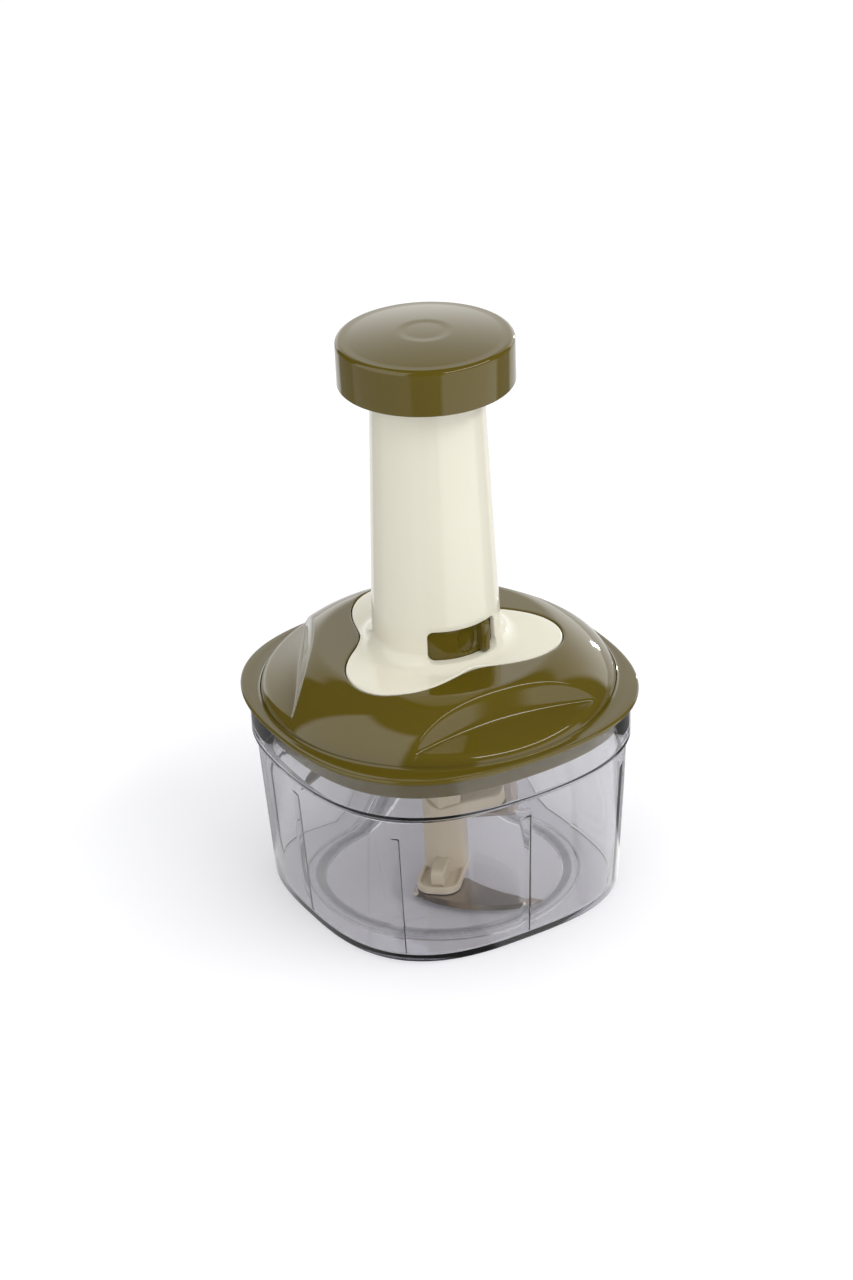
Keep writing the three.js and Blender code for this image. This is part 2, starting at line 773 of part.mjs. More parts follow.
function makeKnobInsert() {
  const inner = tubeRadius(knobBottom) + fitGap;
  return sleeve(inner + fitGap, knobRadius - knobWall - fitGap, 0, insertThick, middleSides);
}

function makePlungerTube() {
  const top = knobCeiling - fitGap;
  const hole = screwRadius + fitGap;
  const tube = solid(turnedRing([
    [plungerBore, plungerBottom],
    [plungerRadius, plungerBottom],
    [plungerRadius, stopFlangeBottom],
    [stopFlangeRadius, stopFlangeBottom],
    [stopFlangeRadius, stopFlangeTop],
    [plungerRadius, stopFlangeTop],
    [plungerRadius, top],
    [plungerBore, top],
    [plungerBore, webTop],
    [hole, webTop],
    [hole, webTop - plungerWeb],
    [plungerBore, webTop - plungerWeb],
  ], middleSides));
  const notch = solid(sector(
    stopFlangeRadius + cutOverrun, lockToothAngle + 2 * fitGap / plungerRadius,
    stopFlangeBottom - cutOverrun, stopFlangeTop + cutOverrun))
    .subtract(solid(bar(
      stopFlangeRadius - stopNotchDepth, stopFlangeBottom - 2 * cutOverrun,
      stopFlangeTop + 2 * cutOverrun, middleSides)));
  return shell(tube.subtract(copiedRound(notch, lockToothCount, lidTurn - turn / 4 - lockTravel)));
}

// A flat bar's section with round edges, grown by a margin. Its flats are split into short
// runs, so that the twisted faces stay true.
function barSection(margin) {
  const halfThick = barThick / 2 + margin;
  const halfFlat = (barWidth - barThick) / 2;
  const half = [];
  for (let i = 0; i <= barEndSteps; i += 1) {
    const angle = turn / 2 * i / barEndSteps - turn / 4;
    half.push(new THREE.Vector2(halfFlat + halfThick * Math.cos(angle), halfThick * Math.sin(angle)));
  }
  for (let i = 1; i < barFlatSteps; i += 1) {
    half.push(new THREE.Vector2(halfFlat - 2 * halfFlat * i / barFlatSteps, halfThick));
  }
  return new THREE.Shape([...half, ...half.map((point) => point.clone().negate())]);
}

// The bar's section twisted along Z as a left-hand helix, so that a push turns the blades clockwise.
function twisted(margin, bottom, top) {
  const steps = Math.ceil(turn * (top - bottom) / lead / barStepAngle);
  const geometry = raised(barSection(margin), bottom, top, steps);
  const place = geometry.attributes.position;
  for (let i = 0; i < place.count; i += 1) {
    const angle = -turn * place.getZ(i) / lead;
    const [x, y] = [place.getX(i), place.getY(i)];
    place.setXY(i, x * Math.cos(angle) - y * Math.sin(angle), x * Math.sin(angle) + y * Math.cos(angle));
  }
  return geometry;
}

function makeDriveNut() {
  const top = plungerBottom + nutHeight;
  const body = solid(bar(plungerBore - fitGap, plungerBottom, top, smallSides));
  return shell(body.subtract(solid(twisted(barFit, plungerBottom - cutOverrun, top + cutOverrun))));
}

const journalBottom = ratchetTop - ratchetHeight + fitGap;

function makeSpindle() {
  const journal = solid(bar(journalRadius, journalBottom, bearingBossTop, smallSides));
  const crossHole = solid(crossBar(crossPinRadius + fitGap, 2 * journalRadius + cutOverrun));
  const helix = solid(twisted(0, bearingBossTop - cutOverrun, spindleTop));
  return shell(journal.add(helix).subtract(crossHole));
}

// A round bar across the ratchet, at the height of its cross pin.
function crossBar(radius, length) {
  const bottom = -length / 2;
  const height = ratchetTop - crossPinRadius - fitGap;
  return bar(radius, bottom, -bottom, smallSides / 2).rotateX(turn / 4).translate(0, 0, height);
}

function makeSpindlePin() {
  return crossBar(crossPinRadius, 2 * washerRadius);
}

// Saw teeth on a flat ring with their upright faces to the left, grown by a margin for the
// mating side.
function sawTeeth(base, margin) {
  const profile = new THREE.Shape();
  profile.moveTo(margin, -cutOverrun);
  profile.lineTo(margin, ratchetToothHeight + margin);
  profile.lineTo(-ratchetToothWidth - 2 * margin, margin);
  profile.lineTo(-ratchetToothWidth - 2 * margin, -cutOverrun);
  profile.closePath();
  const tooth = new THREE.ExtrudeGeometry(profile, {
    depth: ratchetRadius - ratchetInner + 2 * margin, bevelEnabled: false,
  });
  tooth.rotateX(turn / 4).rotateZ(turn / 4).translate(ratchetInner - margin, 0, base);
  return copiedRound(solid(tooth), ratchetTeeth);
}

function makeRatchetDriver() {
  const bottom = socketTop + fitGap;
  const body = solid(bar(ratchetRadius, bottom, ratchetTop, smallSides));
  const bore = bar(journalRadius + fitGap, journalBottom - fitGap, ratchetTop + cutOverrun, smallSides);
  return shell(body
    .subtract(sawTeeth(socketTop, fitGap))
    .subtract(solid(bore))
    .subtract(solid(crossBar(crossPinRadius + fitGap, 2 * ratchetRadius + cutOverrun))));
}

function makeDriveSocket() {
  const body = solid(turned([
    [0, socketBottom],
    [socketRadius, socketBottom],
    [socketRadius, socketFlangeBottom],
    [socketFlangeRadius - fitGap, socketFlangeBottom],
    [socketFlangeRadius - fitGap, socketFlangeBottom + socketFlangeThick],
    [ratchetRadius + fitGap, socketTop],
    [0, socketTop],
  ], smallSides));
  const hole = solid(hexagon(stemFlats + 2 * fitGap, socketBottom - cutOverrun, stemTop + fitGap))
    .rotate([0, 0, rotorTurn / degree]);
  return shell(body.add(sawTeeth(socketTop, 0)).subtract(hole));
}

function makeDriveCover() {
  const share = collarCornerShare;
  const reach = collarReach - bowlWall - plugFit - lidWall - fitGap;
  const hole = socketRadius + fitGap + lowerBushWall + fitGap;
  const body = solid(turnedRing([
    [hole, coverBottom],
    [reach, coverBottom, share],
    [reach, coverTop, share],
    [hole + coverCollarWall, coverTop],
    [hole + coverCollarWall, coverCollarTop],
    [hole, coverCollarTop],
  ], middleSides));
  const screwHole = solid(bar(
    screwRadius + fitGap, coverBottom - cutOverrun, coverTop + cutOverrun, smallSides / 2)
    .translate(lidBossPlace, 0, 0));
  return shell(body.subtract(copiedRound(screwHole, lobeCount, leafStart)));
}

function makeLowerBush() {
  const inner = socketRadius + fitGap;
  const outer = inner + lowerBushWall;
  return turnedRing([
    [inner, coverBottom],
    [outer, coverBottom],
    [outer, coverCollarTop + fitGap],
    [outer + coverCollarWall, coverCollarTop + fitGap],
    [outer + coverCollarWall, bushFlangeTop],
    [inner, bushFlangeTop],
  ], smallSides);
}

function makeBearingPlate() {
  const hole = journalRadius + fitGap;
  return turnedRing([
    [hole, bearingBottom],
    [lockRoomRadius - fitGap, bearingBottom],
    [lockRoomRadius - fitGap, bearingTop],
    [bearingBossRadius, bearingTop],
    [bearingBossRadius, bearingBossTop - fitGap],
    [hole, bearingBossTop - fitGap],
  ], smallSides);
}

function makeThrustWasher() {
  return sleeve(journalRadius + fitGap, washerRadius, 0, washerThick, smallSides);
}

function makeGuideBush() {
  const inner = plungerRadius + fitGap;
  const outer = tubeTopRadius - tubeWall - fitGap;
  const flangeZ = tubeTop + fitGap;
  return turnedRing([
    [inner, guideBottom],
    [outer, guideBottom],
    [outer, flangeZ],
    [tubeTopRadius, flangeZ],
    [tubeTopRadius, flangeZ + guideFlange],
    [inner, flangeZ + guideFlange],
  ], middleSides);
}

// The centre line of a helical spring.
class SpringLine extends THREE.Curve {
  getPoint(t, target = new THREE.Vector3()) {
    const angle = turn * springCoils * t;
    const rise = springTop - springBottom - springWire;
    const height = springBottom + springWire / 2 + rise * t;
    return target.set(springRadius * Math.cos(angle), springRadius * Math.sin(angle), height);
  }
}

function makeReturnSpring() {
  return new THREE.ExtrudeGeometry(polygon(springWire / 2, springSides), {
    steps: springCoils * springSteps, extrudePath: new SpringLine(), bevelEnabled: false,
  });
}

const colours = {
  clear: { color: 0x9a979d, roughness: 0.1, transparent: true, opacity: 0.35 },
  olive: { color: 0x54491a, roughness: 0.25 },
  cream: { color: 0xe6dfcb, roughness: 0.35 },
  beige: { color: 0xc9bb9b, roughness: 0.4 },
  white: { color: 0xe8e6e0, roughness: 0.5 },
  black: { color: 0x2b2b2d, roughness: 0.5 },
  steel: { color: 0x9c9896, roughness: 0.25, metalness: 1 },
  zinc: { color: 0xa8aaad, roughness: 0.4, metalness: 1 },
};

// A named mesh in one of the chopper's finishes.
function piece(name, geometry, finish, place = [0, 0, 0]) {
  const mesh = new THREE.Mesh(weld(geometry), new THREE.MeshStandardMaterial(colours[finish]));
  mesh.name = name;
  mesh.position.set(...place);
  return mesh;
}

// Numbered screws of one kind, set out round Z with their heads' tops at one height.
function screwSet(name, length, radius, start, height) {
  const set = new THREE.Group();
  for (let i = 0; i < lobeCount; i += 1) {
    const angle = start + turn * i / lobeCount;
    const place = [radius * Math.cos(angle), radius * Math.sin(angle), height];
    set.add(piece(`${name}_${i + 1}`, screw(length), 'zinc', place));
  }
  return set;
}

const bowlGroup = new THREE.Group();
bowlGroup.add(piece('bowl', makeBowl(), 'clear'));
bowlGroup.add(piece('pivot_pin', makePivotPin(), 'steel', [0, 0, pivotBossTop - pivotPinSunk]));

const rotor = new THREE.Group();
rotor.rotation.z = rotorTurn;
rotor.add(piece('blade_stem', makeStem(), 'beige'));
rotor.add(piece('pivot_bush', makePivotBush(), 'white', [0, 0, pivotBossTop + fitGap]));
const bladeNames = ['lower_blade', 'middle_blade', 'upper_blade'];
for (let tier = 0; tier < tierCount; tier += 1) {
  const blade = piece(bladeNames[tier], makeBlade(tier), 'steel', [0, 0, tierBladeBottom(tier)]);
  blade.rotation.z = turn * tier / tierCount;
  rotor.add(blade);
}

const lid = new THREE.Group();
lid.add(piece('lid_cover', makeLidCover(), 'olive'));
lid.add(piece('handle_housing', makeHousing(), 'cream'));
lid.add(screwSet(
  'housing_screw', housingScrewLength, plateScrewPlace, lobeStart, recessFloor - lidWall - fitGap));
lid.add(piece('bearing_plate', makeBearingPlate(), 'white'));
lid.add(piece('thrust_washer', makeThrustWasher(), 'steel', [0, 0, ratchetTop + fitGap]));
lid.add(piece('drive_cover', makeDriveCover(), 'olive'));
lid.add(screwSet(
  'cover_screw', coverScrewLength, lidBossPlace, leafStart, coverBottom - fitGap));
lid.add(piece('lower_bush', makeLowerBush(), 'white'));
lid.add(piece('guide_bush', makeGuideBush(), 'white'));
lid.add(piece('return_spring', makeReturnSpring(), 'steel'));

const lock = new THREE.Group();
lock.add(piece('lock_ring', makeLockRing(), 'olive'));

const plunger = new THREE.Group();
plunger.add(piece('knob_cap', makeKnobCap(), 'olive'));
plunger.add(piece('knob_insert', makeKnobInsert(), 'olive', [0, 0, knobBottom + fitGap]));
plunger.add(piece('plunger_tube', makePlungerTube(), 'cream'));
plunger.add(piece('drive_nut', makeDriveNut(), 'white'));
plunger.add(piece(
  'knob_screw', screw(knobScrewLength), 'zinc', [0, 0, knobScrewHead]));

const spindle = new THREE.Group();
spindle.add(piece('helical_spindle', makeSpindle(), 'steel'));
spindle.add(piece('spindle_pin', makeSpindlePin(), 'steel'));
spindle.add(piece('ratchet_driver', makeRatchetDriver(), 'black'));
spindle.add(piece('drive_socket', makeDriveSocket(), 'black'));

const chopper = new THREE.Group();
lid.add(lock, plunger, spindle);
chopper.add(bowlGroup, rotor, lid);

export default chopper;
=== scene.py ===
"""A hand-pushed food chopper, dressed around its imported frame: a clear bowl, a domed lid with leaf-shaped
finger recesses, a cream plunger handle with its lock, a palm knob and a rotor of curved blades."""

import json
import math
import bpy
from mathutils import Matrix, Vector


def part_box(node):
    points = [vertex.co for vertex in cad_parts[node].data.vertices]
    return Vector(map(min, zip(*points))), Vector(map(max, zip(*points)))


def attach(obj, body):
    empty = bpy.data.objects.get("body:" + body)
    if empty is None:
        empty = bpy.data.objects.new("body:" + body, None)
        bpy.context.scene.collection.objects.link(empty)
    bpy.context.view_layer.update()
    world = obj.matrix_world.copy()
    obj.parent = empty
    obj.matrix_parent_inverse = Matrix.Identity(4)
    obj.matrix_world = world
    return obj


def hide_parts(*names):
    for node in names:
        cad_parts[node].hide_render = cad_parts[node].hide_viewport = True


bl_info = {
    "name": "Plunger Food Chopper",
    "version": (1, 0, 0),
    "blender": (4, 5, 0),
    "location": "View3D > Sidebar > Chopper",
    "description": "Models the surfaces of a hand-pushed food chopper around its frame",
    "category": "Add Mesh",
}

import bpy
import numpy as np
from bpy.props import FloatProperty, FloatVectorProperty, IntProperty, PointerProperty
from mathutils import Matrix, Vector

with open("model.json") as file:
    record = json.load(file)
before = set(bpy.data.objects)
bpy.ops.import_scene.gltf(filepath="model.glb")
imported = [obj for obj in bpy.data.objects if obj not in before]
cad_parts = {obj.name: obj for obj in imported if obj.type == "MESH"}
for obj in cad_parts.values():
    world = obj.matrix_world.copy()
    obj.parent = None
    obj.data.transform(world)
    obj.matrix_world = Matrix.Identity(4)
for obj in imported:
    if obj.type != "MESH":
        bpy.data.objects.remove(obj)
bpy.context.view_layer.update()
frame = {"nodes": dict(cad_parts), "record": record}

TURN = 2 * math.pi
MM = 0.001
WELD = 1e-6
FIT = 0.3 * MM
BLADES = ("lower_blade", "middle_blade", "upper_blade")

_, bowl_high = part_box("bowl")
lid_low, lid_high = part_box("lid_cover")
housing_low, housing_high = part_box("handle_housing")
knob_low, knob_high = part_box("knob_cap")
insert_low, insert_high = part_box("knob_insert")
ring_low, ring_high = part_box("lock_ring")
tube_low, tube_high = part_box("plunger_tube")
guide_low, guide_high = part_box("guide_bush")
spring_low, spring_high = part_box("return_spring")
spindle_low, spindle_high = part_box("helical_spindle")
cover_low, cover_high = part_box("drive_cover")
bush_low, bush_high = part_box("lower_bush")
pin_low, pin_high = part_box("pivot_pin")
stem_low, stem_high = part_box("blade_stem")


# Properties


def length(name, description, default):
    return FloatProperty(name=name, description=description, default=default, unit="LENGTH", precision=5)


def angle(name, description, degrees):
    return FloatProperty(name=name, description=description, default=math.radians(degrees), unit="ROTATION")


def share(name, description, default):
    return FloatProperty(name=name, description=description, default=default, subtype="FACTOR", min=0, max=10)


def count(name, description, default):
    return IntProperty(name=name, description=description, default=default, min=1)


def colour(name, description, red, green, blue):
    return FloatVectorProperty(
        name=name,
        description=description,
        subtype="COLOR_GAMMA",
        size=3,
        min=0,
        max=1,
        default=(red / 255, green / 255, blue / 255),
    )


class BowlSizes(bpy.types.PropertyGroup):
    base_reach: length("Base reach", "Half-width of the flat sides at the base", 59.5 * MM)
    neck_reach: length("Neck reach", "Half-width of the flat sides under the collar", 63.3 * MM)
    wall: length("Wall", "Thickness of the walls", 2.3 * MM)
    floor: length("Floor", "Thickness of the floor", 2 * MM)
    collar: length("Collar", "Height of the collar", 16 * MM)
    collar_step: length("Collar step", "Height of the step under the collar", 1.4 * MM)
    collar_corner: share("Collar corner", "How square the collar is, from a circle to the outline", 0.72)
    exponent: share("Outline exponent", "Exponent of the rounded-square outline", 2.85)
    base_round: length("Base round", "Radius of the outer edge at the base", 1.4 * MM)
    inner_round: length("Inner round", "Radius inside between wall and floor", 1.8 * MM)
    edge_round: length("Edge round", "Radius of the small edges", 0.6 * MM)
    foot_inner: length("Foot ring inside", "Inner radius of the foot ring", 43.5 * MM)
    foot_outer: length("Foot ring outside", "Outer radius of the foot ring", 50 * MM)
    foot_depth: length("Foot ring depth", "How far the foot ring stands below the floor", 0.8 * MM)
    boss_radius: length("Boss radius", "Radius of the boss under the pivot pin", 7 * MM)
    boss_height: length("Boss height", "Height of the boss under the pivot pin", 1.4 * MM)
    rib_count: count("Ribs", "Upright ribs round the inside of the wall", 8)
    rib_width: length("Rib width", "Width of one rib", 1.2 * MM)
    rib_depth: length("Rib depth", "How far a rib stands off the wall", 0.8 * MM)
    rib_top: length("Rib top", "Height of the ribs' tops", 54 * MM)


class LidSizes(bpy.types.PropertyGroup):
    turned_by: angle("Lid turn", "How far the lid is turned on the bowl", -3)
    wall: length("Wall", "Thickness of the lid's shell", 2.2 * MM)
    flange_thick: length("Flange thickness", "Thickness of the flange", 2 * MM)
    flange_round: length("Flange round", "Radius of the flange's edge", 0.8 * MM)
    plug_depth: length("Plug depth", "How far the plug reaches into the bowl", 8 * MM)
    plug_reach: length("Plug reach", "Half-width of the plug", 63.6 * MM)
    dome_radius: length("Dome radius", "Radius of the dome at its base", 66 * MM)
    dome_fillet: length("Dome fillet", "Radius between dome and flange", 1.2 * MM)
    shoulder: length("Shoulder radius", "Radius where the dome starts to fall", 44 * MM)
    dome_power: share("Dome power", "Fullness of the dome's flank", 1.5)
    leaf_count: count("Leaves", "Finger recesses round the dome", 3)
    leaf_centre: length("Leaf centre", "Distance of a leaf's centre of curvature from the axis", 168.2 * MM)
    leaf_half: angle("Leaf half angle", "From a leaf's middle to its tips", 37.5)
    crease_arc: length("Crease arc", "Radius of a leaf's crease in its middle", 117.4 * MM)
    crease_spread: length("Crease spread", "How much wider that radius is at the tips", 5.4 * MM)
    crease_height: length("Crease height", "Height of the crease over the flange, in its middle", 8.3 * MM)
    crease_fall: length("Crease fall", "How far the crease falls to the tips", 3.6 * MM)
    wall_slope: share("Leaf wall slope", "Rise over run of the wall above the crease", 1.97)
    wall_steepening: share("Wall steepening", "How much steeper that wall is at the tips", 2.4)
    floor_slope: share("Leaf floor slope", "Rise over run of the floor below the crease", 0.34)
    leaf_blend: length("Leaf blend", "Softness of the leaf's edges", 1.5 * MM)
    crease_blend: length("Crease blend", "Softness of the crease", 1.7 * MM)
    pocket_fit: length("Pocket fit", "Gap between the lid and the handle's plate", 0.35 * MM)
    pocket_round: length("Pocket round", "Radius of the pocket's edge", 0.5 * MM)
    pocket_depth: length("Pocket depth", "Depth of the pocket for the plate", 4.3 * MM)
    centre_hole: length("Centre hole", "Radius of the hole for the drive", 14.8 * MM)


class HandleSizes(bpy.types.PropertyGroup):
    plate_radius: length("Plate radius", "Mean radius of the three-lobed plate", 37.2 * MM)
    lobe_rise: length("Lobe rise", "How far the lobes swell", 9 * MM)
    plate_thick: length("Plate thickness", "Thickness of the plate", 4 * MM)
    plate_round: length("Plate round", "Radius of the plate's edge", 0.9 * MM)
    foot_radius: length("Foot radius", "Radius of the tube at its foot", 23.7 * MM)
    top_radius: length("Top radius", "Radius of the tube at its top", 20.05 * MM)
    wall: length("Wall", "Thickness of the tube", 2.2 * MM)
    fillet: length("Fillet", "Radius between tube and plate", 7 * MM)
    lip_round: length("Lip round", "Radius of the tube's upper lip", 0.7 * MM)
    room_radius: length("Lock room radius", "Radius of the room for the lock ring", 22 * MM)
    room_top: length("Lock room top", "Height of that room's ceiling", 118 * MM)
    window_half: angle("Window half angle", "Half of the window's width round the tube", 36)
    window_bottom: length("Window bottom", "Height of the window's sill", 102.8 * MM)
    window_top: length("Window top", "Height of the window's head", 114.8 * MM)
    window_round: length("Window round", "Radius of the window's corners", 2.5 * MM)
    window_soft: length("Window edge", "Softness of the window's outer edge", 0.5 * MM)


class LockSizes(bpy.types.PropertyGroup):
    wall: length("Wall", "Thickness of the lock ring", 2.2 * MM)
    radius: length("Ring radius", "Outer radius of the lock ring", 21.7 * MM)
    edge_round: length("Edge round", "Radius of the ring's edges", 0.4 * MM)
    scoop_place: angle("Scoop place", "Place of the thumb scoop, from the middle of the window", 4)
    scoop_width: length("Scoop width", "Width of the thumb scoop", 8 * MM)
    scoop_height: length("Scoop height", "Height of the thumb scoop", 10.3 * MM)
    scoop_depth: length("Scoop depth", "Depth of the thumb scoop", 1.3 * MM)
    scoop_over: length("Scoop top", "How far the scoop's top is over the window's head", -0.6 * MM)
    scoop_edge: length("Scoop edge", "Width of the scoop's soft edge", 0.7 * MM)
    nub_place: angle("Nub place", "Place of the nub, from the middle of the window", 20)
    nub_width: length("Nub width", "Width of the nub", 3.4 * MM)
    nub_proud: length("Nub proud", "How far the nub stands off the ring", 3.4 * MM)
    nub_round: length("Nub round", "Radius of the nub's edges", 0.9 * MM)
    tooth_angle: angle("Latch tooth", "Width of one latch tooth", 34)
    tooth_height: length("Latch tooth height", "Height of the latch teeth", 2.2 * MM)
    tooth_inner: length("Latch tooth inside", "Inner radius of the latch teeth", 18.5 * MM)
    travel: angle("Travel", "How far the ring turns to unlock", 40)


class KnobSizes(bpy.types.PropertyGroup):
    wall: length("Wall", "Thickness of the knob's skirt", 2.6 * MM)
    crown: length("Crown", "How far the middle of the top stands over its rim", 2.2 * MM)
    edge_round: length("Edge round", "Radius of the knob's upper edge", 3.4 * MM)
    skirt_round: length("Skirt round", "Radius of the skirt's lower edge", 0.7 * MM)
    dish_radius: length("Dish radius", "Radius of the shallow dish in the top", 10.5 * MM)
    dish_edge: length("Dish edge", "Width of the dish's soft edge", 4 * MM)
    dish_depth: length("Dish depth", "Depth of the dish", 0.22 * MM)
    ceiling_depth: length("Ceiling depth", "From the top to the knob's inside", 3.4 * MM)
    boss_radius: length("Boss radius", "Radius of the boss inside the knob", 12.2 * MM)
    boss_length: length("Boss length", "Length of the boss inside the knob", 12 * MM)
    screw_hole: length("Screw hole", "Radius of the hole for the knob's screw", 1.8 * MM)


class PlungerSizes(bpy.types.PropertyGroup):
    radius: length("Tube radius", "Outer radius of the plunger tube", 15 * MM)
    bore: length("Tube bore", "Inner radius of the plunger tube", 12.5 * MM)
    flange: length("Stop flange", "Radius of the stop flange", 18.2 * MM)
    flange_bottom: length("Stop flange bottom", "Height of the flange's underside", 112.7 * MM)
    flange_top: length("Stop flange top", "Height of the flange's top", 115.2 * MM)
    web: length("Web", "Thickness of the web under the knob", 2 * MM)
    edge_round: length("Edge round", "Radius of the tube's edges", 0.5 * MM)
    notch_depth: length("Notch depth", "Depth of one notch in the stop flange", 1.9 * MM)


class RotorSizes(bpy.types.PropertyGroup):
    turned_by: angle("Rotor turn", "Direction of the lowest clamp", -132)
    stem_flats: length("Stem flats", "Width of the hexagonal stem across its flats", 15 * MM)
    lead_in: length("Lead-in", "Height of the stem's tapered top", 3 * MM)
    lead_share: share("Lead-in share", "Width left at the stem's top", 0.8)
    edge_round: length("Edge round", "Radius of the stem's edges", 0.35 * MM)
    bore: length("Stem bore", "Radius of the hole for the pivot bush", 4.3 * MM)
    bore_top: length("Bore top", "Height of that hole's end", 30.3 * MM)
    blade_lead: angle("Blade lead", "Angle from a clamp to its blade's tip", 62)
    lower_reach: length("Lower reach", "Radius of the lowest blade's tip", 45.5 * MM)
    upper_reach: length("Upper reach", "Radius of the upper blades' tips", 54 * MM)
    bevel_width: length("Ground bevel", "Width of the ground cutting edge", 3 * MM)
    bevel_land: length("Edge land", "Thickness left at the cutting edge", 0.12 * MM)
    clamp_half: length("Clamp half width", "Half-width of a clamp", 8 * MM)
    clamp_corner: length("Clamp corner", "Radius of a clamp's corners", 6 * MM)
    clamp_thick: length("Clamp thickness", "Thickness of a clamp's tongue", 1.5 * MM)
    clamp_rim: length("Clamp rim", "Width of a clamp's rim", 1.4 * MM)
    rim_height: length("Rim height", "Height of a clamp's rim over its tongue", 1.3 * MM)
    lower_clamp: length("Lower clamp reach", "Reach of the lowest clamp", 21.5 * MM)
    upper_clamp: length("Upper clamp reach", "Reach of the upper clamps", 24 * MM)
    gusset_width: length("Gusset width", "Width of a gusset", 5 * MM)
    gusset_height: length("Gusset height", "Height of a gusset", 7 * MM)
    gusset_inset: length("Gusset inset", "From a clamp's end to its gusset", 3 * MM)
    gusset_round: length("Gusset round", "Radius of a gusset's corner", 2 * MM)


class DriveSizes(bpy.types.PropertyGroup):
    lead: length("Lead", "Rise of the helix in one turn", 50 * MM)
    bar_width: length("Bar width", "Width of the twisted bar", 9.4 * MM)
    bar_thick: length("Bar thickness", "Thickness of the twisted bar", 3.4 * MM)
    journal: length("Journal", "Radius of the journal under the helix", 5 * MM)
    journal_top: length("Journal top", "Height where the helix starts", 104.2 * MM)
    cover_hole: length("Cover hole", "Radius of the hole in the drive cover", 13.8 * MM)
    cover_wall: length("Cover collar wall", "Wall of the collar on the drive cover", 2.8 * MM)
    cover_thick: length("Cover thickness", "Thickness of the drive cover", 2 * MM)
    cover_round: length("Cover round", "Radius of the cover's edges", 0.4 * MM)
    cover_reach: length("Cover reach", "Half-width of the drive cover", 61.1 * MM)
    bush_inner: length("Bush bore", "Bore of the lower bush", 11.8 * MM)
    bush_wall: length("Bush wall", "Wall of the lower bush", 1.7 * MM)
    bush_flange: length("Bush flange", "Thickness of the lower bush's flange", 1.2 * MM)


class SmallSizes(bpy.types.PropertyGroup):
    wire: length("Spring wire", "Diameter of the return spring's wire", 1.3 * MM)
    spring_radius: length("Spring radius", "Mean radius of the return spring", 17 * MM)
    spring_coils: count("Spring coils", "Turns of the return spring", 6)
    screw_radius: length("Screw radius", "Radius of a screw's thread", 1.5 * MM)
    thread_depth: length("Thread depth", "Depth of a screw's thread", 0.25 * MM)
    thread_pitch: length("Thread pitch", "Pitch of a screw's thread", 0.7 * MM)
    head_radius: length("Head radius", "Radius of a screw's head", 3 * MM)
    head_height: length("Head height", "Height of a screw's head", 1.9 * MM)
    head_round: length("Head round", "Radius of a screw's head edge", 0.9 * MM)
    slot_width: length("Slot width", "Width of the cross slot", 0.7 * MM)
    slot_length: length("Slot length", "Length of the cross slot", 3.2 * MM)
    slot_depth: length("Slot depth", "Depth of the cross slot", 1 * MM)
    housing_place: length("Housing screw place", "Distance of the housing screws from the axis", 37 * MM)
    cover_place: length("Cover screw place", "Distance of the cover screws from the axis", 56 * MM)


class Colours(bpy.types.PropertyGroup):
    olive: colour("Olive", "Lid, knob and lock", 92, 79, 20)
    cream: colour("Cream", "Handle and plunger", 226, 222, 204)
    beige: colour("Beige", "Blade stem", 218, 205, 178)
    white: colour("White", "Bushes and bearings", 226, 224, 217)
    black: colour("Black", "Drive socket and ratchet", 44, 44, 46)
    steel: colour("Steel", "Blades, spindle and spring", 174, 163, 154)
    zinc: colour("Zinc", "Screws", 178, 180, 182)
    smoke: colour("Smoke", "Tint of the clear bowl", 198, 196, 203)
    table: colour("Table", "Floor and backdrop", 240, 240, 243)


class StageSizes(bpy.types.PropertyGroup):
    camera_x: length("Camera X", "Place of the camera along X", -552.7 * MM)
    camera_y: length("Camera Y", "Place of the camera along Y", -949.7 * MM)
    camera_z: length("Camera Z", "Height of the camera", 695.8 * MM)
    azimuth: angle("Azimuth", "Direction of the view round Z", -30)
    elevation: angle("Elevation", "How far the camera looks down", 28.49)
    roll: angle("Roll", "Tilt of the picture", -2.4)
    lens: FloatProperty(name="Lens", description="Focal length for a 36 mm frame", default=95.625)
    floor_reach: length("Floor reach", "Half-width of the floor", 6)


# Shapes


def clear_selection():
    if bpy.context.object and bpy.context.object.mode != "OBJECT":
        bpy.ops.object.mode_set(mode="OBJECT")
    bpy.ops.object.select_all(action="DESELECT")


def select_only(piece):
    clear_selection()
    piece.select_set(True)
    bpy.context.view_layer.objects.active = piece


def edit_all(piece):
    select_only(piece)
    bpy.ops.object.mode_set(mode="EDIT")
    bpy.ops.mesh.select_all(action="SELECT")


def points_of(piece):
    points = np.empty(3 * len(piece.data.vertices))
    piece.data.vertices.foreach_get("co", points)
    return points.reshape(-1, 3)


def move_points(piece, points):
    piece.data.vertices.foreach_set("co", np.ascontiguousarray(points).ravel())
    piece.data.update()


def sew(piece):
    """Merges the points that meet, drops loose edges and turns the faces outwards."""
    edit_all(piece)
    bpy.ops.mesh.remove_doubles(threshold=WELD)
    bpy.ops.mesh.delete_loose()
    bpy.ops.mesh.select_all(action="SELECT")
    bpy.ops.mesh.normals_make_consistent(inside=False)
    bpy.ops.object.mode_set(mode="OBJECT")


def nearest(points, targets):
    """For each point, which of the targets is nearest."""
    best = np.zeros(len(points), dtype=int)
    shortest = np.full(len(points), np.inf)
    for i, target in enumerate(targets):
        away = ((points - target) ** 2).sum(axis=1)
        closer = away < shortest
        best[closer] = i
        shortest[closer] = away[closer]
    return best


def circle(name, corners, fill="NOTHING"):
    """A circle of radius one, whose corners are moved later."""
    clear_selection()
    bpy.ops.mesh.primitive_circle_add(vertices=corners, radius=1, fill_type=fill)
    piece = bpy.context.object
    piece.name = piece.data.name = name
    return piece


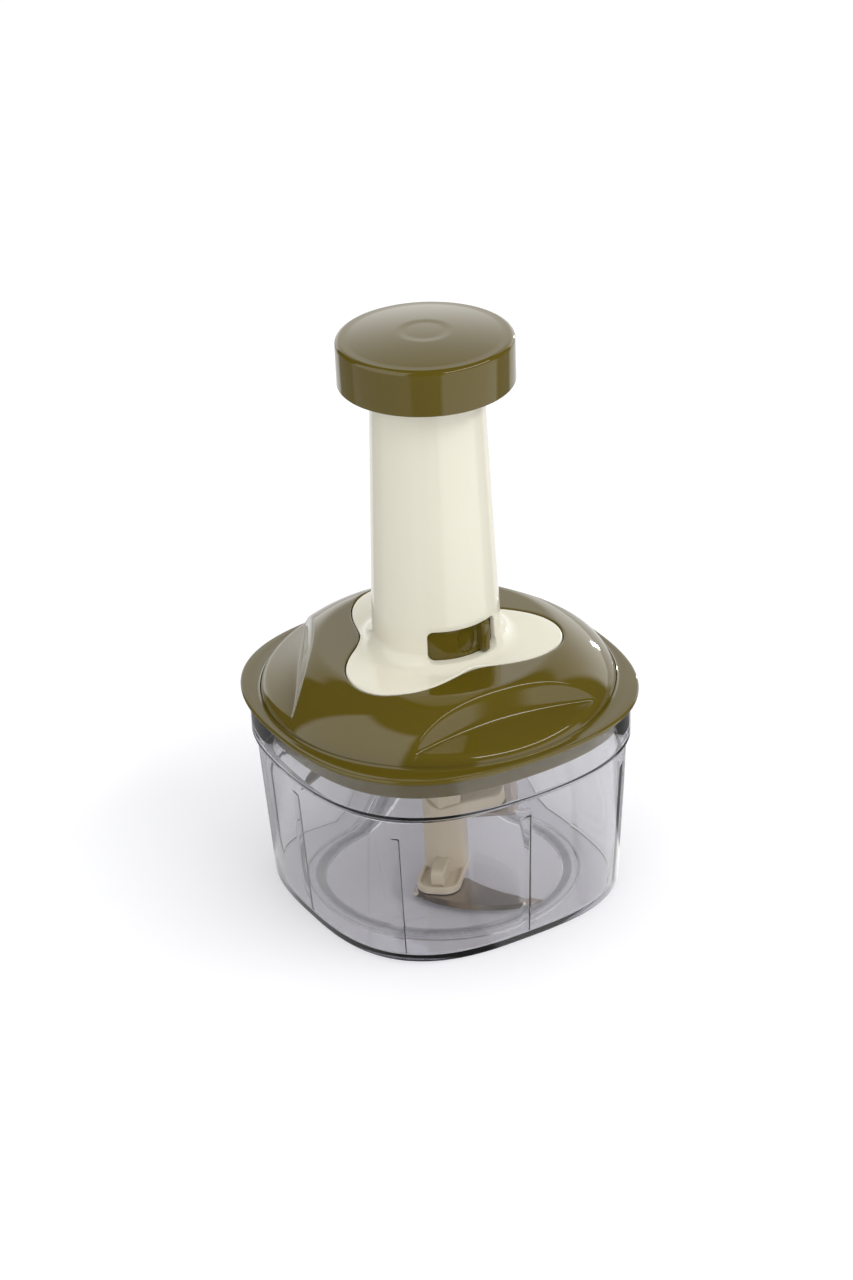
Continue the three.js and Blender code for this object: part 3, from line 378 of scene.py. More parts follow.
def outlined(name, points):
    """A closed outline through points, drawn from a circle with as many corners."""
    piece = circle(name, len(points))
    move_points(piece, points)
    return piece


def block(sides, middle):
    """A block with sides of these lengths."""
    clear_selection()
    bpy.ops.mesh.primitive_cube_add(size=1)
    piece = bpy.context.object
    move_points(piece, points_of(piece) * sides + middle)
    return piece


def spun(name, loops):
    """Spins the outline at the first angle once round Z, then lays each loop to its own shape."""
    loops = np.asarray(loops)
    columns = loops.shape[1]
    first = loops[:, 0]
    outline = np.stack([np.hypot(first[:, 0], first[:, 1]), first[:, 2]], axis=1)
    piece = outlined(name, np.insert(outline, 1, 0, axis=1))
    edit_all(piece)
    bpy.ops.mesh.spin(steps=columns, angle=TURN, center=(0, 0, 0), axis=(0, 0, 1))
    sew(piece)
    points = points_of(piece)
    radius = np.hypot(points[:, 0], points[:, 1])
    column = np.round(np.arctan2(points[:, 1], points[:, 0]) * columns / TURN).astype(int) % columns
    row = nearest(np.stack([radius, points[:, 2]], axis=1), outline)
    move_points(piece, loops[row, column])
    sew(piece)
    return piece


def raised(name, loops):
    """Extrudes a flat outline once for each further loop, then lays the loops to their shape."""
    loops = np.asarray(loops)
    levels, across = loops.shape[:2]
    piece = circle(name, across, "NGON")
    corners = points_of(piece)[:, :2]
    edit_all(piece)
    for _ in range(levels - 1):
        bpy.ops.mesh.extrude_region_move(TRANSFORM_OT_translate={"value": (0, 0, 1)})
    bpy.ops.object.mode_set(mode="OBJECT")
    points = points_of(piece)
    level = np.round(points[:, 2]).astype(int)
    move_points(piece, loops[level, nearest(points[:, :2], corners)])
    sew(piece)
    return piece


def square_reach(around):
    """How far a rounded square of half-width one reaches at each angle."""
    exponent = bpy.context.scene.chopper_bowl.exponent
    power = np.abs(np.cos(around)) ** exponent + np.abs(np.sin(around)) ** exponent
    return power ** (-1 / exponent)


def even_angles(sides):
    return np.arange(sides) * TURN / sides


def rounded(corners, closed=False, steps=5):
    """Rows of (radius, height, corner share) through corners of (radius, height, round, corner share)."""
    corners = [tuple(corner) + (0,) * (4 - len(corner)) for corner in corners]
    rows = []
    for i, (radius, height, edge, square) in enumerate(corners):
        at_end = not closed and i in (0, len(corners) - 1)
        if edge == 0 or at_end:
            rows.append((radius, height, square))
            continue
        here = np.array([radius, height])
        back = np.array(corners[i - 1][:2]) - here
        on = np.array(corners[(i + 1) % len(corners)][:2]) - here
        back_length, on_length = np.linalg.norm(back), np.linalg.norm(on)
        back, on = back / back_length, on / on_length
        half = math.acos(np.clip(back @ on, -1, 1)) / 2
        tangent = min(edge / math.tan(half), 0.48 * back_length, 0.48 * on_length)
        centre = here + (back + on) / np.linalg.norm(back + on) * tangent / math.cos(half)
        first, last = here + back * tangent - centre, here + on * tangent - centre
        sweep = math.acos(np.clip(first @ last / (first @ first), -1, 1))
        for step in range(steps + 1):
            part = step / steps
            point = math.sin((1 - part) * sweep) * first + math.sin(part * sweep) * last
            point = centre + point / math.sin(sweep)
            rows.append((point[0], point[1], square))
    return rows


def loops_round(rows, around):
    """Loops of points round Z for rows of (radius, height, corner share)."""
    rows = np.array(rows)
    radius = rows[:, 0:1] * (1 + rows[:, 2:3] * (square_reach(around)[None] - 1))
    return loops_at(radius, rows[:, 1:2], around)


def loops_at(radius, height, around):
    """Loops of points for radii and heights given row by row, at angles round Z."""
    radius, height, around = np.broadcast_arrays(radius, height, np.asarray(around)[None])
    return np.stack([radius * np.cos(around), radius * np.sin(around), height], axis=-1)


def turned(name, corners, closed=False, sides=128, steps=5):
    """A piece turned on the axis, with rounded corners."""
    return spun(name, loops_round(rounded(corners, closed, steps), even_angles(sides)))


def rod(name, radius, bottom, top):
    """A plain round tool on the axis."""
    return turned(name, [(0, bottom), (radius, bottom), (radius, top), (0, top)], sides=32)


def open_rows(corners, around):
    """Radii and heights of a closed outline at every angle, to be changed before it is spun."""
    rows = np.array(rounded(corners, closed=True, steps=4))
    return [np.repeat(rows[:, i : i + 1], len(around), axis=1) for i in (0, 1)]


class Rings:
    """Collects the rings of a spun piece, each with a radius and a height at every angle."""

    def __init__(self, around):
        self.around = around
        self.radii, self.heights = [], []

    def add(self, *rows):
        for radius, height in rows:
            self.radii.append(radius + np.zeros(len(self.around)))
            self.heights.append(height + np.zeros(len(self.around)))

    def arc(self, radius, height, bend, start, end, steps=5):
        """Rings round a bend about a centre, from one quarter of the circle to another."""
        for step in range(steps + 1):
            at = (start + (end - start) * step / steps) * TURN / 4
            self.add((radius + bend * math.cos(at), height + bend * math.sin(at)))

    def loops(self):
        return loops_at(np.array(self.radii), np.array(self.heights), self.around)


def rounded_rectangle(left, bottom, right, top, radius, steps=6, run=1 * MM):
    """Points round a rectangle with rounded corners, its straight sides in short runs."""
    points = []
    corners = [
        (right - radius, top - radius, 0),
        (left + radius, top - radius, 1),
        (left + radius, bottom + radius, 2),
        (right - radius, bottom + radius, 3),
    ]
    for i, (x, y, quarter) in enumerate(corners):
        for step in range(steps + 1):
            turned_by = (quarter + step / steps) * TURN / 4
            points.append((x + radius * math.cos(turned_by), y + radius * math.sin(turned_by)))
        next_x, next_y, next_quarter = corners[(i + 1) % 4]
        start = np.array(points[-1])
        end_angle = next_quarter * TURN / 4
        end = np.array([next_x + radius * math.cos(end_angle), next_y + radius * math.sin(end_angle)])
        runs = max(1, round(np.linalg.norm(end - start) / run))
        points.extend(tuple(start + (end - start) * j / runs) for j in range(1, runs))
    return np.array(points)


def grown(points, margin):
    """A closed outline, counter-clockwise, moved outwards by a margin."""
    ahead = np.roll(points, -1, axis=0) - points
    behind = points - np.roll(points, 1, axis=0)
    ahead /= np.linalg.norm(ahead, axis=1, keepdims=True)
    behind /= np.linalg.norm(behind, axis=1, keepdims=True)
    tangent = ahead + behind
    tangent /= np.linalg.norm(tangent, axis=1, keepdims=True)
    return points + margin * np.stack([tangent[:, 1], -tangent[:, 0]], axis=1)


def turn_points(points, turned_by):
    """Points turned round Z."""
    cos, sin = math.cos(turned_by), math.sin(turned_by)
    x, y = points[..., 0], points[..., 1]
    return np.stack([cos * x - sin * y, sin * x + cos * y, points[..., 2]], axis=-1)


def set_round(piece, turned_by, out=0.0):
    """Moves a piece out along X, then turns it round Z."""
    move_points(piece, turn_points(points_of(piece) + [out, 0, 0], turned_by))


def at_height(shape, height):
    """A flat outline as a loop of points at one height."""
    return np.column_stack([shape, np.full(len(shape), height)])


def from_nearest(off, sector):
    """Angles measured from the middle of the nearest of equal sectors."""
    return (off + sector / 2) % sector - sector / 2


def curve(part, *points):
    """Points along a Bezier curve with these control points."""
    degree = len(points) - 1
    return sum(
        math.comb(degree, i) * (1 - part) ** (degree - i) * part**i * np.asarray(point)
        for i, point in enumerate(points))


def smooth_step(value):
    value = np.clip(value, 0, 1)
    return value * value * (3 - 2 * value)


def soft_min(first, second, blend):
    part = np.clip(0.5 + 0.5 * (second - first) / blend, 0, 1)
    return second + (first - second) * part - blend * part * (1 - part)


def soft_max(first, second, blend):
    return -soft_min(-first, -second, blend)


def apply_modifiers(piece):
    select_only(piece)
    for modifier in list(piece.modifiers):
        bpy.ops.object.modifier_apply(modifier=modifier.name)


def combine(piece, tool, operation="DIFFERENCE"):
    """Cuts the tool from the piece, or joins it on, and deletes the tool."""
    modifier = piece.modifiers.new("Combine", "BOOLEAN")
    modifier.operation = operation
    modifier.solver = "EXACT"
    modifier.object = tool
    apply_modifiers(piece)
    bpy.data.objects.remove(tool)


def soften(piece, width, segments=2, limit=30):
    """Rounds the sharp edges of a piece."""
    modifier = piece.modifiers.new("Soft edges", "BEVEL")
    modifier.width = width
    modifier.segments = segments
    modifier.limit_method = "ANGLE"
    modifier.angle_limit = math.radians(limit)
    apply_modifiers(piece)


def dressed(piece, body, slot, nodes, smooth=32):
    """Finishes a piece: smooth shading, its material, its body and the nodes it stands for."""
    select_only(piece)
    bpy.ops.object.shade_smooth_by_angle(angle=math.radians(smooth))
    piece.data.materials.clear()
    piece.data.materials.append(finish(slot))
    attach(piece, body)
    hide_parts(*nodes)


# Finishes


def linear(channel):
    return channel / 12.92 if channel <= 0.04045 else ((channel + 0.055) / 1.055) ** 2.4


def rgba(display, part=1.0):
    """A colour as it is shown, made darker to a part, as the values that a shader takes."""
    return (*[linear(channel * part) for channel in display], 1)


def new_group(name, inputs, outputs):
    """An empty shader group with its sockets, and its two ends."""
    group = bpy.data.node_groups.new(name, "ShaderNodeTree")
    for label, kind, default in inputs:
        group.interface.new_socket(label, in_out="INPUT", socket_type=kind).default_value = default
    for label, kind in outputs:
        group.interface.new_socket(label, in_out="OUTPUT", socket_type=kind)
    return group, group.nodes.new("NodeGroupInput").outputs, group.nodes.new("NodeGroupOutput").inputs


def noise(tree, vector, scale, detail):
    texture = tree.nodes.new("ShaderNodeTexNoise")
    texture.inputs["Detail"].default_value = detail
    tree.links.new(vector, texture.inputs["Vector"])
    connect(tree, scale, texture.inputs["Scale"])
    return texture.outputs["Fac"]


def connect(tree, value, socket):
    if isinstance(value, bpy.types.NodeSocket):
        tree.links.new(value, socket)
    else:
        socket.default_value = value


def calculated(tree, operation, *values, clamp=False):
    node = tree.nodes.new("ShaderNodeMath")
    node.operation = operation
    node.use_clamp = clamp
    for socket, value in zip(node.inputs, values):
        connect(tree, value, socket)
    return node.outputs[0]


def mixed_colour(tree, factor, first, second):
    node = tree.nodes.new("ShaderNodeMix")
    node.data_type = "RGBA"
    connect(tree, factor, node.inputs[0])
    connect(tree, first, node.inputs[6])
    connect(tree, second, node.inputs[7])
    return node.outputs[2]


def bumped(tree, height, strength, distance):
    bump = tree.nodes.new("ShaderNodeBump")
    bump.inputs["Distance"].default_value = distance
    connect(tree, strength, bump.inputs["Strength"])
    tree.links.new(height, bump.inputs["Height"])
    return bump.outputs["Normal"]


SURFACE_OUTPUTS = [
    ("Colour", "NodeSocketColor"),
    ("Roughness", "NodeSocketFloat"),
    ("Normal", "NodeSocketVector"),
]


def wire_surface(group, start, end, colour, uneven, normal):
    """Wires a group's colour, its uneven gloss and its relief to its outputs."""
    spread = calculated(group, "SUBTRACT", uneven, 0.5)
    rough = calculated(
        group, "MULTIPLY_ADD", spread, start["Roughness Spread"], start["Roughness"], clamp=True)
    for value, label in ((colour, "Colour"), (rough, "Roughness"), (normal, "Normal")):
        group.links.new(value, end[label])
    return group


def moulded_group():
    """Moulded plastic: faint flow marks in the colour, uneven gloss and a fine ripple."""
    group, start, end = new_group(
        "Moulded plastic",
        [
            ("Colour", "NodeSocketColor", (0.8, 0.8, 0.8, 1)),
            ("Flow Colour", "NodeSocketColor", (0.7, 0.7, 0.7, 1)),
            ("Roughness", "NodeSocketFloat", 0.3),
            ("Roughness Spread", "NodeSocketFloat", 0.06),
            ("Ripple", "NodeSocketFloat", 0.1),
            ("Grain Scale", "NodeSocketFloat", 900),
        ],
        SURFACE_OUTPUTS,
    )
    place = group.nodes.new("ShaderNodeTexCoord").outputs["Object"]
    flow = noise(group, place, scale=28, detail=3)
    colour = mixed_colour(group, flow, start["Colour"], start["Flow Colour"])
    smudge = noise(group, place, scale=45, detail=4)
    grain = noise(group, place, scale=start["Grain Scale"], detail=2)
    wave = noise(group, place, scale=60, detail=1)
    relief = calculated(group, "MULTIPLY_ADD", grain, 0.15, wave)
    normal = bumped(group, relief, start["Ripple"], distance=0.05 * MM)
    return wire_surface(group, start, end, colour, smudge, normal)


def brushed_group():
    """Brushed steel: fine streaks along X in tone, gloss and relief."""
    group, start, end = new_group(
        "Brushed steel",
        [
            ("Colour", "NodeSocketColor", (0.5, 0.5, 0.5, 1)),
            ("Dark Colour", "NodeSocketColor", (0.4, 0.4, 0.4, 1)),
            ("Roughness", "NodeSocketFloat", 0.25),
            ("Roughness Spread", "NodeSocketFloat", 0.15),
            ("Streak Relief", "NodeSocketFloat", 0.2),
        ],
        SURFACE_OUTPUTS,
    )
    mapping = group.nodes.new("ShaderNodeMapping")
    mapping.inputs["Scale"].default_value = (60, 2400, 2400)
    group.links.new(group.nodes.new("ShaderNodeTexCoord").outputs["Object"], mapping.inputs["Vector"])
    streaks = noise(group, mapping.outputs["Vector"], scale=1, detail=3)
    colour = mixed_colour(group, streaks, start["Dark Colour"], start["Colour"])
    normal = bumped(group, streaks, start["Streak Relief"], distance=0.02 * MM)
    return wire_surface(group, start, end, colour, streaks, normal)


def new_material(name, group, values):
    """A material whose shader is fed by a group that is set to these values."""
    material = bpy.data.materials.new(name)
    material.use_nodes = True
    tree = material.node_tree
    shader = tree.nodes["Principled BSDF"]
    node = tree.nodes.new("ShaderNodeGroup")
    node.node_tree = group
    for label, value in values.items():
        node.inputs[label].default_value = value
    tree.links.new(node.outputs["Colour"], shader.inputs["Base Color"])
    tree.links.new(node.outputs["Roughness"], shader.inputs["Roughness"])
    tree.links.new(node.outputs["Normal"], shader.inputs["Normal"])
    return material, tree, shader


def shared_group(maker, name):
    return bpy.data.node_groups.get(name) or maker()


def coordinates(tree, kind="Object"):
    """The X, Y and Z of a shader's coordinates."""
    split = tree.nodes.new("ShaderNodeSeparateXYZ")
    tree.links.new(tree.nodes.new("ShaderNodeTexCoord").outputs[kind], split.inputs[0])
    return split.outputs


def mixed_surface(tree, factor, first, second):
    """Shows one shader or the other by a factor."""
    mix = tree.nodes.new("ShaderNodeMixShader")
    for value, socket in zip((factor, first, second), mix.inputs):
        tree.links.new(value, socket)
    tree.links.new(mix.outputs["Shader"], tree.nodes["Material Output"].inputs["Surface"])


def moulded_plastic(name, display, roughness, ripple, spread, flow):
    """A plain moulded plastic in one colour."""
    material, _, shader = new_material(name, shared_group(moulded_group, "Moulded plastic"), {
        "Colour": rgba(display),
        "Flow Colour": rgba(display, flow),
        "Roughness": roughness,
        "Roughness Spread": spread,
        "Ripple": ripple,
    })
    shader.inputs["IOR"].default_value = 1.5
    return material


def steel(name, display, roughness):
    """Brushed steel in one tone."""
    material, _, shader = new_material(name, shared_group(brushed_group, "Brushed steel"), {
        "Colour": rgba(display),
        "Dark Colour": rgba(display, 0.86),
        "Roughness": roughness,
    })
    shader.inputs["Metallic"].default_value = 1
    return material


SMOKE_DENSITY = 110


def clear_plastic(name, display):
    """Clear smoky plastic: tinted by its thickness, and open to the light for what stands in it."""
    material, tree, shader = new_material(name, shared_group(moulded_group, "Moulded plastic"), {
        "Colour": (0.97, 0.97, 0.975, 1),
        "Flow Colour": (0.96, 0.96, 0.965, 1),
        "Roughness": 0.01,
        "Roughness Spread": 0.01,
        "Ripple": 0.02,
    })
    shader.inputs["Transmission Weight"].default_value = 1
    shader.inputs["IOR"].default_value = 1.49
    # Painted shade on the foot ring, where it rests on the table
    paint_foot_ring_shade(tree, shader)
    path = tree.nodes.new("ShaderNodeLightPath").outputs
    passing = tree.nodes.new("ShaderNodeBsdfTransparent")
    passing.inputs["Color"].default_value = (0.985, 0.985, 0.99, 1)
    indirect = calculated(tree, "MAXIMUM", path["Is Shadow Ray"], path["Is Diffuse Ray"])
    mixed_surface(tree, indirect, shader.outputs["BSDF"], passing.outputs["BSDF"])
    smoke = tree.nodes.new("ShaderNodeVolumeAbsorption")
    smoke.inputs["Color"].default_value = rgba(display)
    smoke.inputs["Density"].default_value = SMOKE_DENSITY
    tree.links.new(smoke.outputs["Volume"], tree.nodes["Material Output"].inputs["Volume"])
    return material


def paint_foot_ring_shade(tree, shader):
    """Paints shade on the foot ring: a dark band inside and a thin dark line outside, where it rests on the
    table.
    """
    size = bpy.context.scene.chopper_bowl
    soft = 0.8 * MM
    across, along, up = coordinates(tree)
    square = calculated(tree, "MULTIPLY_ADD", along, along, calculated(tree, "MULTIPLY", across, across))
    radius = calculated(tree, "SQRT", square)
    # Where the shade is painted: middle radius, half width and how dark
    inner_band = (size.foot_inner + 1.9 * MM, 2.1 * MM, 0.6)
    outer_line = (size.foot_outer, 0.8 * MM, 0.45)
    painted_shade = 0
    for middle, half, strength in (inner_band, outer_line):
        away = calculated(tree, "ABSOLUTE", calculated(tree, "SUBTRACT", radius, middle))
        band = calculated(tree, "DIVIDE", calculated(tree, "SUBTRACT", half, away), soft, clamp=True)
        painted_shade = calculated(tree, "MULTIPLY_ADD", band, strength, painted_shade)
    low = calculated(tree, "LESS_THAN", up, size.foot_depth + size.floor + 0.3 * MM)
    painted_shade = calculated(tree, "MULTIPLY", painted_shade, low, clamp=True)
    clear = shader.inputs["Base Color"].links[0].from_socket
    # Darkens the clear colour towards near black there: painted shade, not the plastic's own tint
    tree.links.new(mixed_colour(tree, painted_shade, clear, (0.02, 0.02, 0.03, 1)), shader.inputs["Base Color"])


# For each plastic its colour, roughness, ripple, spread of the roughness and tone of the flow marks
PLASTICS = {
    "olive_plastic": ("olive", 0.05, 0.03, 0.03, 0.95),
    "cream_plastic": ("cream", 0.12, 0.04, 0.05, 0.985),
    "beige_plastic": ("beige", 0.3, 0.1, 0.05, 0.96),
    "white_plastic": ("white", 0.45, 0.15, 0.05, 0.98),
    "black_plastic": ("black", 0.5, 0.2, 0.05, 0.95),
}

# For each steel its colour and roughness
STEELS = {"blade_steel": ("steel", 0.22), "zinc_steel": ("zinc", 0.4)}


def finish(slot):
    """The material for one of the chopper's finishes, made when it is first asked for."""
    name = ("brushed_" if slot in STEELS else "moulded_") + slot
    if name in bpy.data.materials:
        return bpy.data.materials[name]
    colours = bpy.context.scene.chopper_colours
    if slot == "clear_plastic":
        return clear_plastic(name, colours.smoke)
    if slot in STEELS:
        tone, roughness = STEELS[slot]
        return steel(name, getattr(colours, tone), roughness)
    tone, *values = PLASTICS[slot]
    return moulded_plastic(name, getattr(colours, tone), *values)


# Pieces


def lobe_start():
    """The direction of the first lobe of the handle's plate."""
    return bpy.context.scene.chopper_lid.turned_by + TURN / 4


def leaf_start():
    """The direction of the first leaf, across from the first lobe."""
    return lobe_start() + TURN / 2


def window_middle():
    """The direction of the middle of the lock window."""
    return bpy.context.scene.chopper_lid.turned_by - TURN / 4


def leaf_sector():
    """The angle from one leaf, lobe or latch tooth to the next."""
    return TURN / bpy.context.scene.chopper_lid.leaf_count


def plate_outline(around):
    """The radius of the handle's three-lobed plate at each angle."""
    size = bpy.context.scene.chopper_handle
    lobes = bpy.context.scene.chopper_lid.leaf_count
    return size.plate_radius + size.lobe_rise * np.cos(lobes * (around - lobe_start()))


class CHOPPER_OT_bowl(bpy.types.Operator):
    """The clear bowl with its collar, foot ring and wall ribs"""

    bl_idname = "chopper.bowl"
    bl_label = "Bowl"

    # Rows of points on the inner wall, in millimetres from the ribs' tops, and columns across one
    # rib, in half widths from its middle
    RIB_ROWS = (1.2, 0.9, 0.5, 0.1, -0.6, -15, -30)
    RIB_COLUMNS = (-2.6, -1.9, -1.5, -1.25, -1, -0.75, -0.4, 0, 0.4, 0.75, 1, 1.25, 1.5, 1.9, 2.6)
    COLUMNS_BETWEEN = 18

    def execute(self, context):
        size = context.scene.chopper_bowl
        height = bowl_high.z
        neck = height - size.collar
        collar = bowl_high.x
        edge = size.edge_round
        square = size.collar_corner
        floor_top = size.foot_depth + size.floor
        boss_top = floor_top + size.boss_height
        hole = pin_high.x + FIT
        hole_floor = pin_low.z - FIT
        neck_inside = size.neck_reach - size.wall
        base_inside = size.base_reach - size.wall
        rise = neck - size.collar_step / 2 - floor_top

        def wall_row(at):
            reach = neck_inside + (base_inside - neck_inside) * (rise + floor_top - at) / rise
            return (reach, at, 0, 1)

        corners = [
            (0, size.foot_depth),
            (size.foot_inner, size.foot_depth, edge / 2, 0),
            (size.foot_inner, 0, edge / 2, 0),
            (size.foot_outer, 0, edge / 2, 0),
            (size.foot_outer, size.foot_depth, edge / 2, 0),
            (size.base_reach, size.foot_depth, size.base_round, 1),
            (size.neck_reach, neck - size.collar_step, edge, 1),
            (collar, neck, edge, square),
            (collar, height, edge, square),
            (collar - size.wall, height, edge, square),
            (collar - size.wall, neck + size.collar_step / 2, edge, square),
            (neck_inside, neck - size.collar_step / 2, edge, 1),
            *[wall_row(size.rib_top + off * MM) for off in self.RIB_ROWS],
            (base_inside, floor_top, size.inner_round, 1),
            (size.foot_outer, floor_top, 0, 0),
            (size.boss_radius + 2 * MM, floor_top, 0, 0),
            (size.boss_radius, floor_top, edge, 0),
            (size.boss_radius, boss_top, edge / 2, 0),
            (hole, boss_top, edge / 3, 0),
            (hole, hole_floor, 0, 0),
            (0, hole_floor),
        ]
        rows = rounded(corners, steps=7)
        around = self.angles(size)
        loops = loops_round(rows, around)
        self.raise_ribs(size, loops, rows, around, floor_top)
        dressed(spun("clear_bowl", loops), "bowl", "clear_plastic", ["bowl"], smooth=50)
        return {"FINISHED"}

    def rib_half(self, size):
        """Half of a rib's width as an angle."""
        return size.rib_width / size.base_reach / 2

    def angles(self, size):
        """Even angles round the bowl, with fine steps across each rib."""
        sector = TURN / size.rib_count
        fine = self.rib_half(size) * np.array(self.RIB_COLUMNS)
        coarse = np.linspace(fine[-1], sector + fine[0], self.COLUMNS_BETWEEN + 2)[1:-1]
        step = np.concatenate([fine, coarse])
        return np.concatenate([rib * sector + step for rib in range(size.rib_count)]) - fine[0]

    def raise_ribs(self, size, loops, rows, around, floor_top):
        """Draws the inner wall in at each rib, up to the ribs' tops."""
        off = np.abs(from_nearest(around, TURN / size.rib_count)) / self.rib_half(size)
        across = smooth_step((1.5 - off) / 0.8)
        top_row = int(np.argmax([row[1] for row in rows]))
        inner_wall = size.neck_reach - size.wall - 1e-9
        for i, (radius, height, square) in enumerate(rows):
            if i <= top_row or square != 1 or radius > inner_wall:
                continue
            fade = float(smooth_step((size.rib_top + 1 * MM - height) / (0.8 * MM)))
            fade *= min(1, (height - floor_top) / (0.6 * MM))
            reach = np.hypot(loops[i, :, 0], loops[i, :, 1])
            loops[i, :, :2] *= (1 - size.rib_depth * across * fade / reach)[:, None]


class CHOPPER_OT_lid(bpy.types.Operator):
    """The olive lid: flange, plug, dome, leaf-shaped recesses and the pocket for the handle"""

    bl_idname = "chopper.lid"
    bl_label = "Lid"

    # Points round the lid, rings between the knots of the dome, on the leaves' floors and inside
    COLUMNS = 480
    DOME_RINGS = (16, 12, 5, 9)
    FLOOR_RINGS = 24
    INNER_RINGS = 20
    # Halvings in the search for a leaf's rim
    SEARCH_STEPS = 30

    def execute(self, context):
        size = context.scene.chopper_lid
        around = even_angles(self.COLUMNS)
        reach = 1 + context.scene.chopper_bowl.collar_corner * (square_reach(around) - 1)
        rings = Rings(around)
        self.add_rings(size, rings, reach)
        dressed(spun("domed_lid", rings.loops()), "lid", "olive_plastic", ["lid_cover"], smooth=40)
        return {"FINISHED"}

    def dome(self, size, radius, inset=0.0):
        """Height of the plain dome, or of its inside where it is inset by the wall."""
        flank = size.dome_radius - inset - size.shoulder
        run = np.clip((radius - size.shoulder) / flank, 0, 1)
        rise = lid_high.z - inset - self.flange_top(size)
        return self.flange_top(size) + rise * (1 - run ** size.dome_power) ** (1 / size.dome_power)

    def flange_top(self, size):
        return self.flange_bottom(size) + size.flange_thick

    def flange_bottom(self, size):
        return lid_low.z + size.plug_depth

    def leaf(self, size, radius, off, grow=0.0):
        """Height of a leaf recess: a steep wall that meets a shallow floor at the crease."""
        away = np.sqrt(radius**2 + size.leaf_centre**2 - 2 * radius * size.leaf_centre * np.cos(off))
        side = (off / size.leaf_half) ** 2
        past = away - grow - size.crease_arc - size.crease_spread * side
        crease = self.flange_top(size) + size.crease_height - size.crease_fall * side - grow
        wall_slope = size.wall_slope + size.wall_steepening * side
        return soft_max(crease + past * wall_slope, crease + past * size.floor_slope, size.crease_blend)

    def rim_and_crease(self, size, off):
        """The radii at which a leaf's wall leaves the dome and meets its floor."""
        low = np.full(len(off), size.shoulder - 6 * MM)
        high = np.full(len(off), size.dome_radius - 1.8 * MM)
        for _ in range(self.SEARCH_STEPS):
            middle = (low + high) / 2
            cut = self.leaf(size, middle, off) < self.dome(size, middle)
            high = np.where(cut, middle, high)
            low = np.where(cut, low, middle)
        arc = size.crease_arc + size.crease_spread * (off / size.leaf_half) ** 2
        across = np.maximum(arc**2 - (size.leaf_centre * np.sin(off)) ** 2, 0)
        crease = size.leaf_centre * np.cos(off) - np.sqrt(across)
        near = np.minimum(0.9 * MM, (size.dome_radius - high) / 5)
        return high, np.clip(crease, high + 2.1 * near, size.dome_radius - 1.5 * near), near

    def add_rings(self, size, rings, reach):
        """Every ring of the lid's shell, from the pocket out and back inside."""
        off = from_nearest(rings.around - leaf_start(), leaf_sector())
        pocket = plate_outline(rings.around) + size.pocket_fit
        floor = lid_high.z - size.pocket_depth
        rim, crease, near = self.rim_and_crease(size, off)

        def dome_ring(radius):
            leaf = self.leaf(size, radius, off)
            rings.add((radius, soft_min(self.dome(size, radius), leaf, size.leaf_blend)))

        for part in (0, 0.25, 0.6, 0.97):
            rings.add((size.centre_hole + part * (pocket - size.centre_hole), floor))
        rings.add((pocket, floor + 0.1 * MM))
        edge = pocket + size.pocket_round
        rings.arc(edge, self.dome(size, edge) - size.pocket_round, size.pocket_round, 2, 1)
        knots = [edge, rim - 1.3 * MM, rim + near, crease - near, crease + near]
        for start, end, pieces in zip(knots, knots[1:], self.DOME_RINGS):
            for step in range(1, pieces + 1):
                dome_ring(start + (end - start) * step / pieces)
        for step in range(1, self.FLOOR_RINGS):
            part = 1 - (1 - step / self.FLOOR_RINGS) ** 2
            dome_ring(knots[-1] + (size.dome_radius - knots[-1]) * part)
        self.flange_rings(size, rings, reach)
        self.inner_rings(size, rings, pocket, off, reach)

    def flange_rings(self, size, rings, reach):
        """The fillet at the dome's foot, the flange and the plug."""
        top, bottom = self.flange_top(size), self.flange_bottom(size)
        fillet, edge, small = size.dome_fillet, size.flange_round, 0.4 * MM
        flange = lid_high.x * reach
        plug = size.plug_reach * reach
        inside = plug - size.wall
        rings.arc(size.dome_radius + fillet, top + fillet, fillet, 2, 3)
        rings.add(((size.dome_radius + fillet + flange - edge) / 2, top))
        rings.arc(flange - edge, top - edge, edge, 1, 0)
        rings.arc(flange - edge, bottom + edge, edge, 0, -1)
        rings.add(
            (plug + small, bottom),
            (plug, bottom - small),
            (plug, lid_low.z + small),
            (plug - small, lid_low.z),
            (inside + small, lid_low.z),
            (inside, lid_low.z + small),
        )

    def inner_rings(self, size, rings, pocket, off, reach):
        """The underside of the dome, from the plug back in to the centre hole."""
        wall = size.wall
        bottom = self.flange_bottom(size)
        under = lid_high.z - size.pocket_depth - wall
        outline = pocket + wall
        base = size.dome_radius - wall
        rings.add((size.plug_reach * reach - wall, bottom - wall), (base, bottom))
        for step in range(1, self.INNER_RINGS + 1):
            radius = base + (outline - base) * (1 - (1 - step / self.INNER_RINGS) ** 2)
            leaf = self.leaf(size, radius, off, wall)
            rings.add((radius, soft_min(self.dome(size, radius, wall), leaf, size.leaf_blend)))
        rings.add(
            (outline, under + 0.1 * MM),
            (outline - 0.1 * MM, under),
            ((outline + size.centre_hole) / 2, under),
            (size.centre_hole, under),
        )


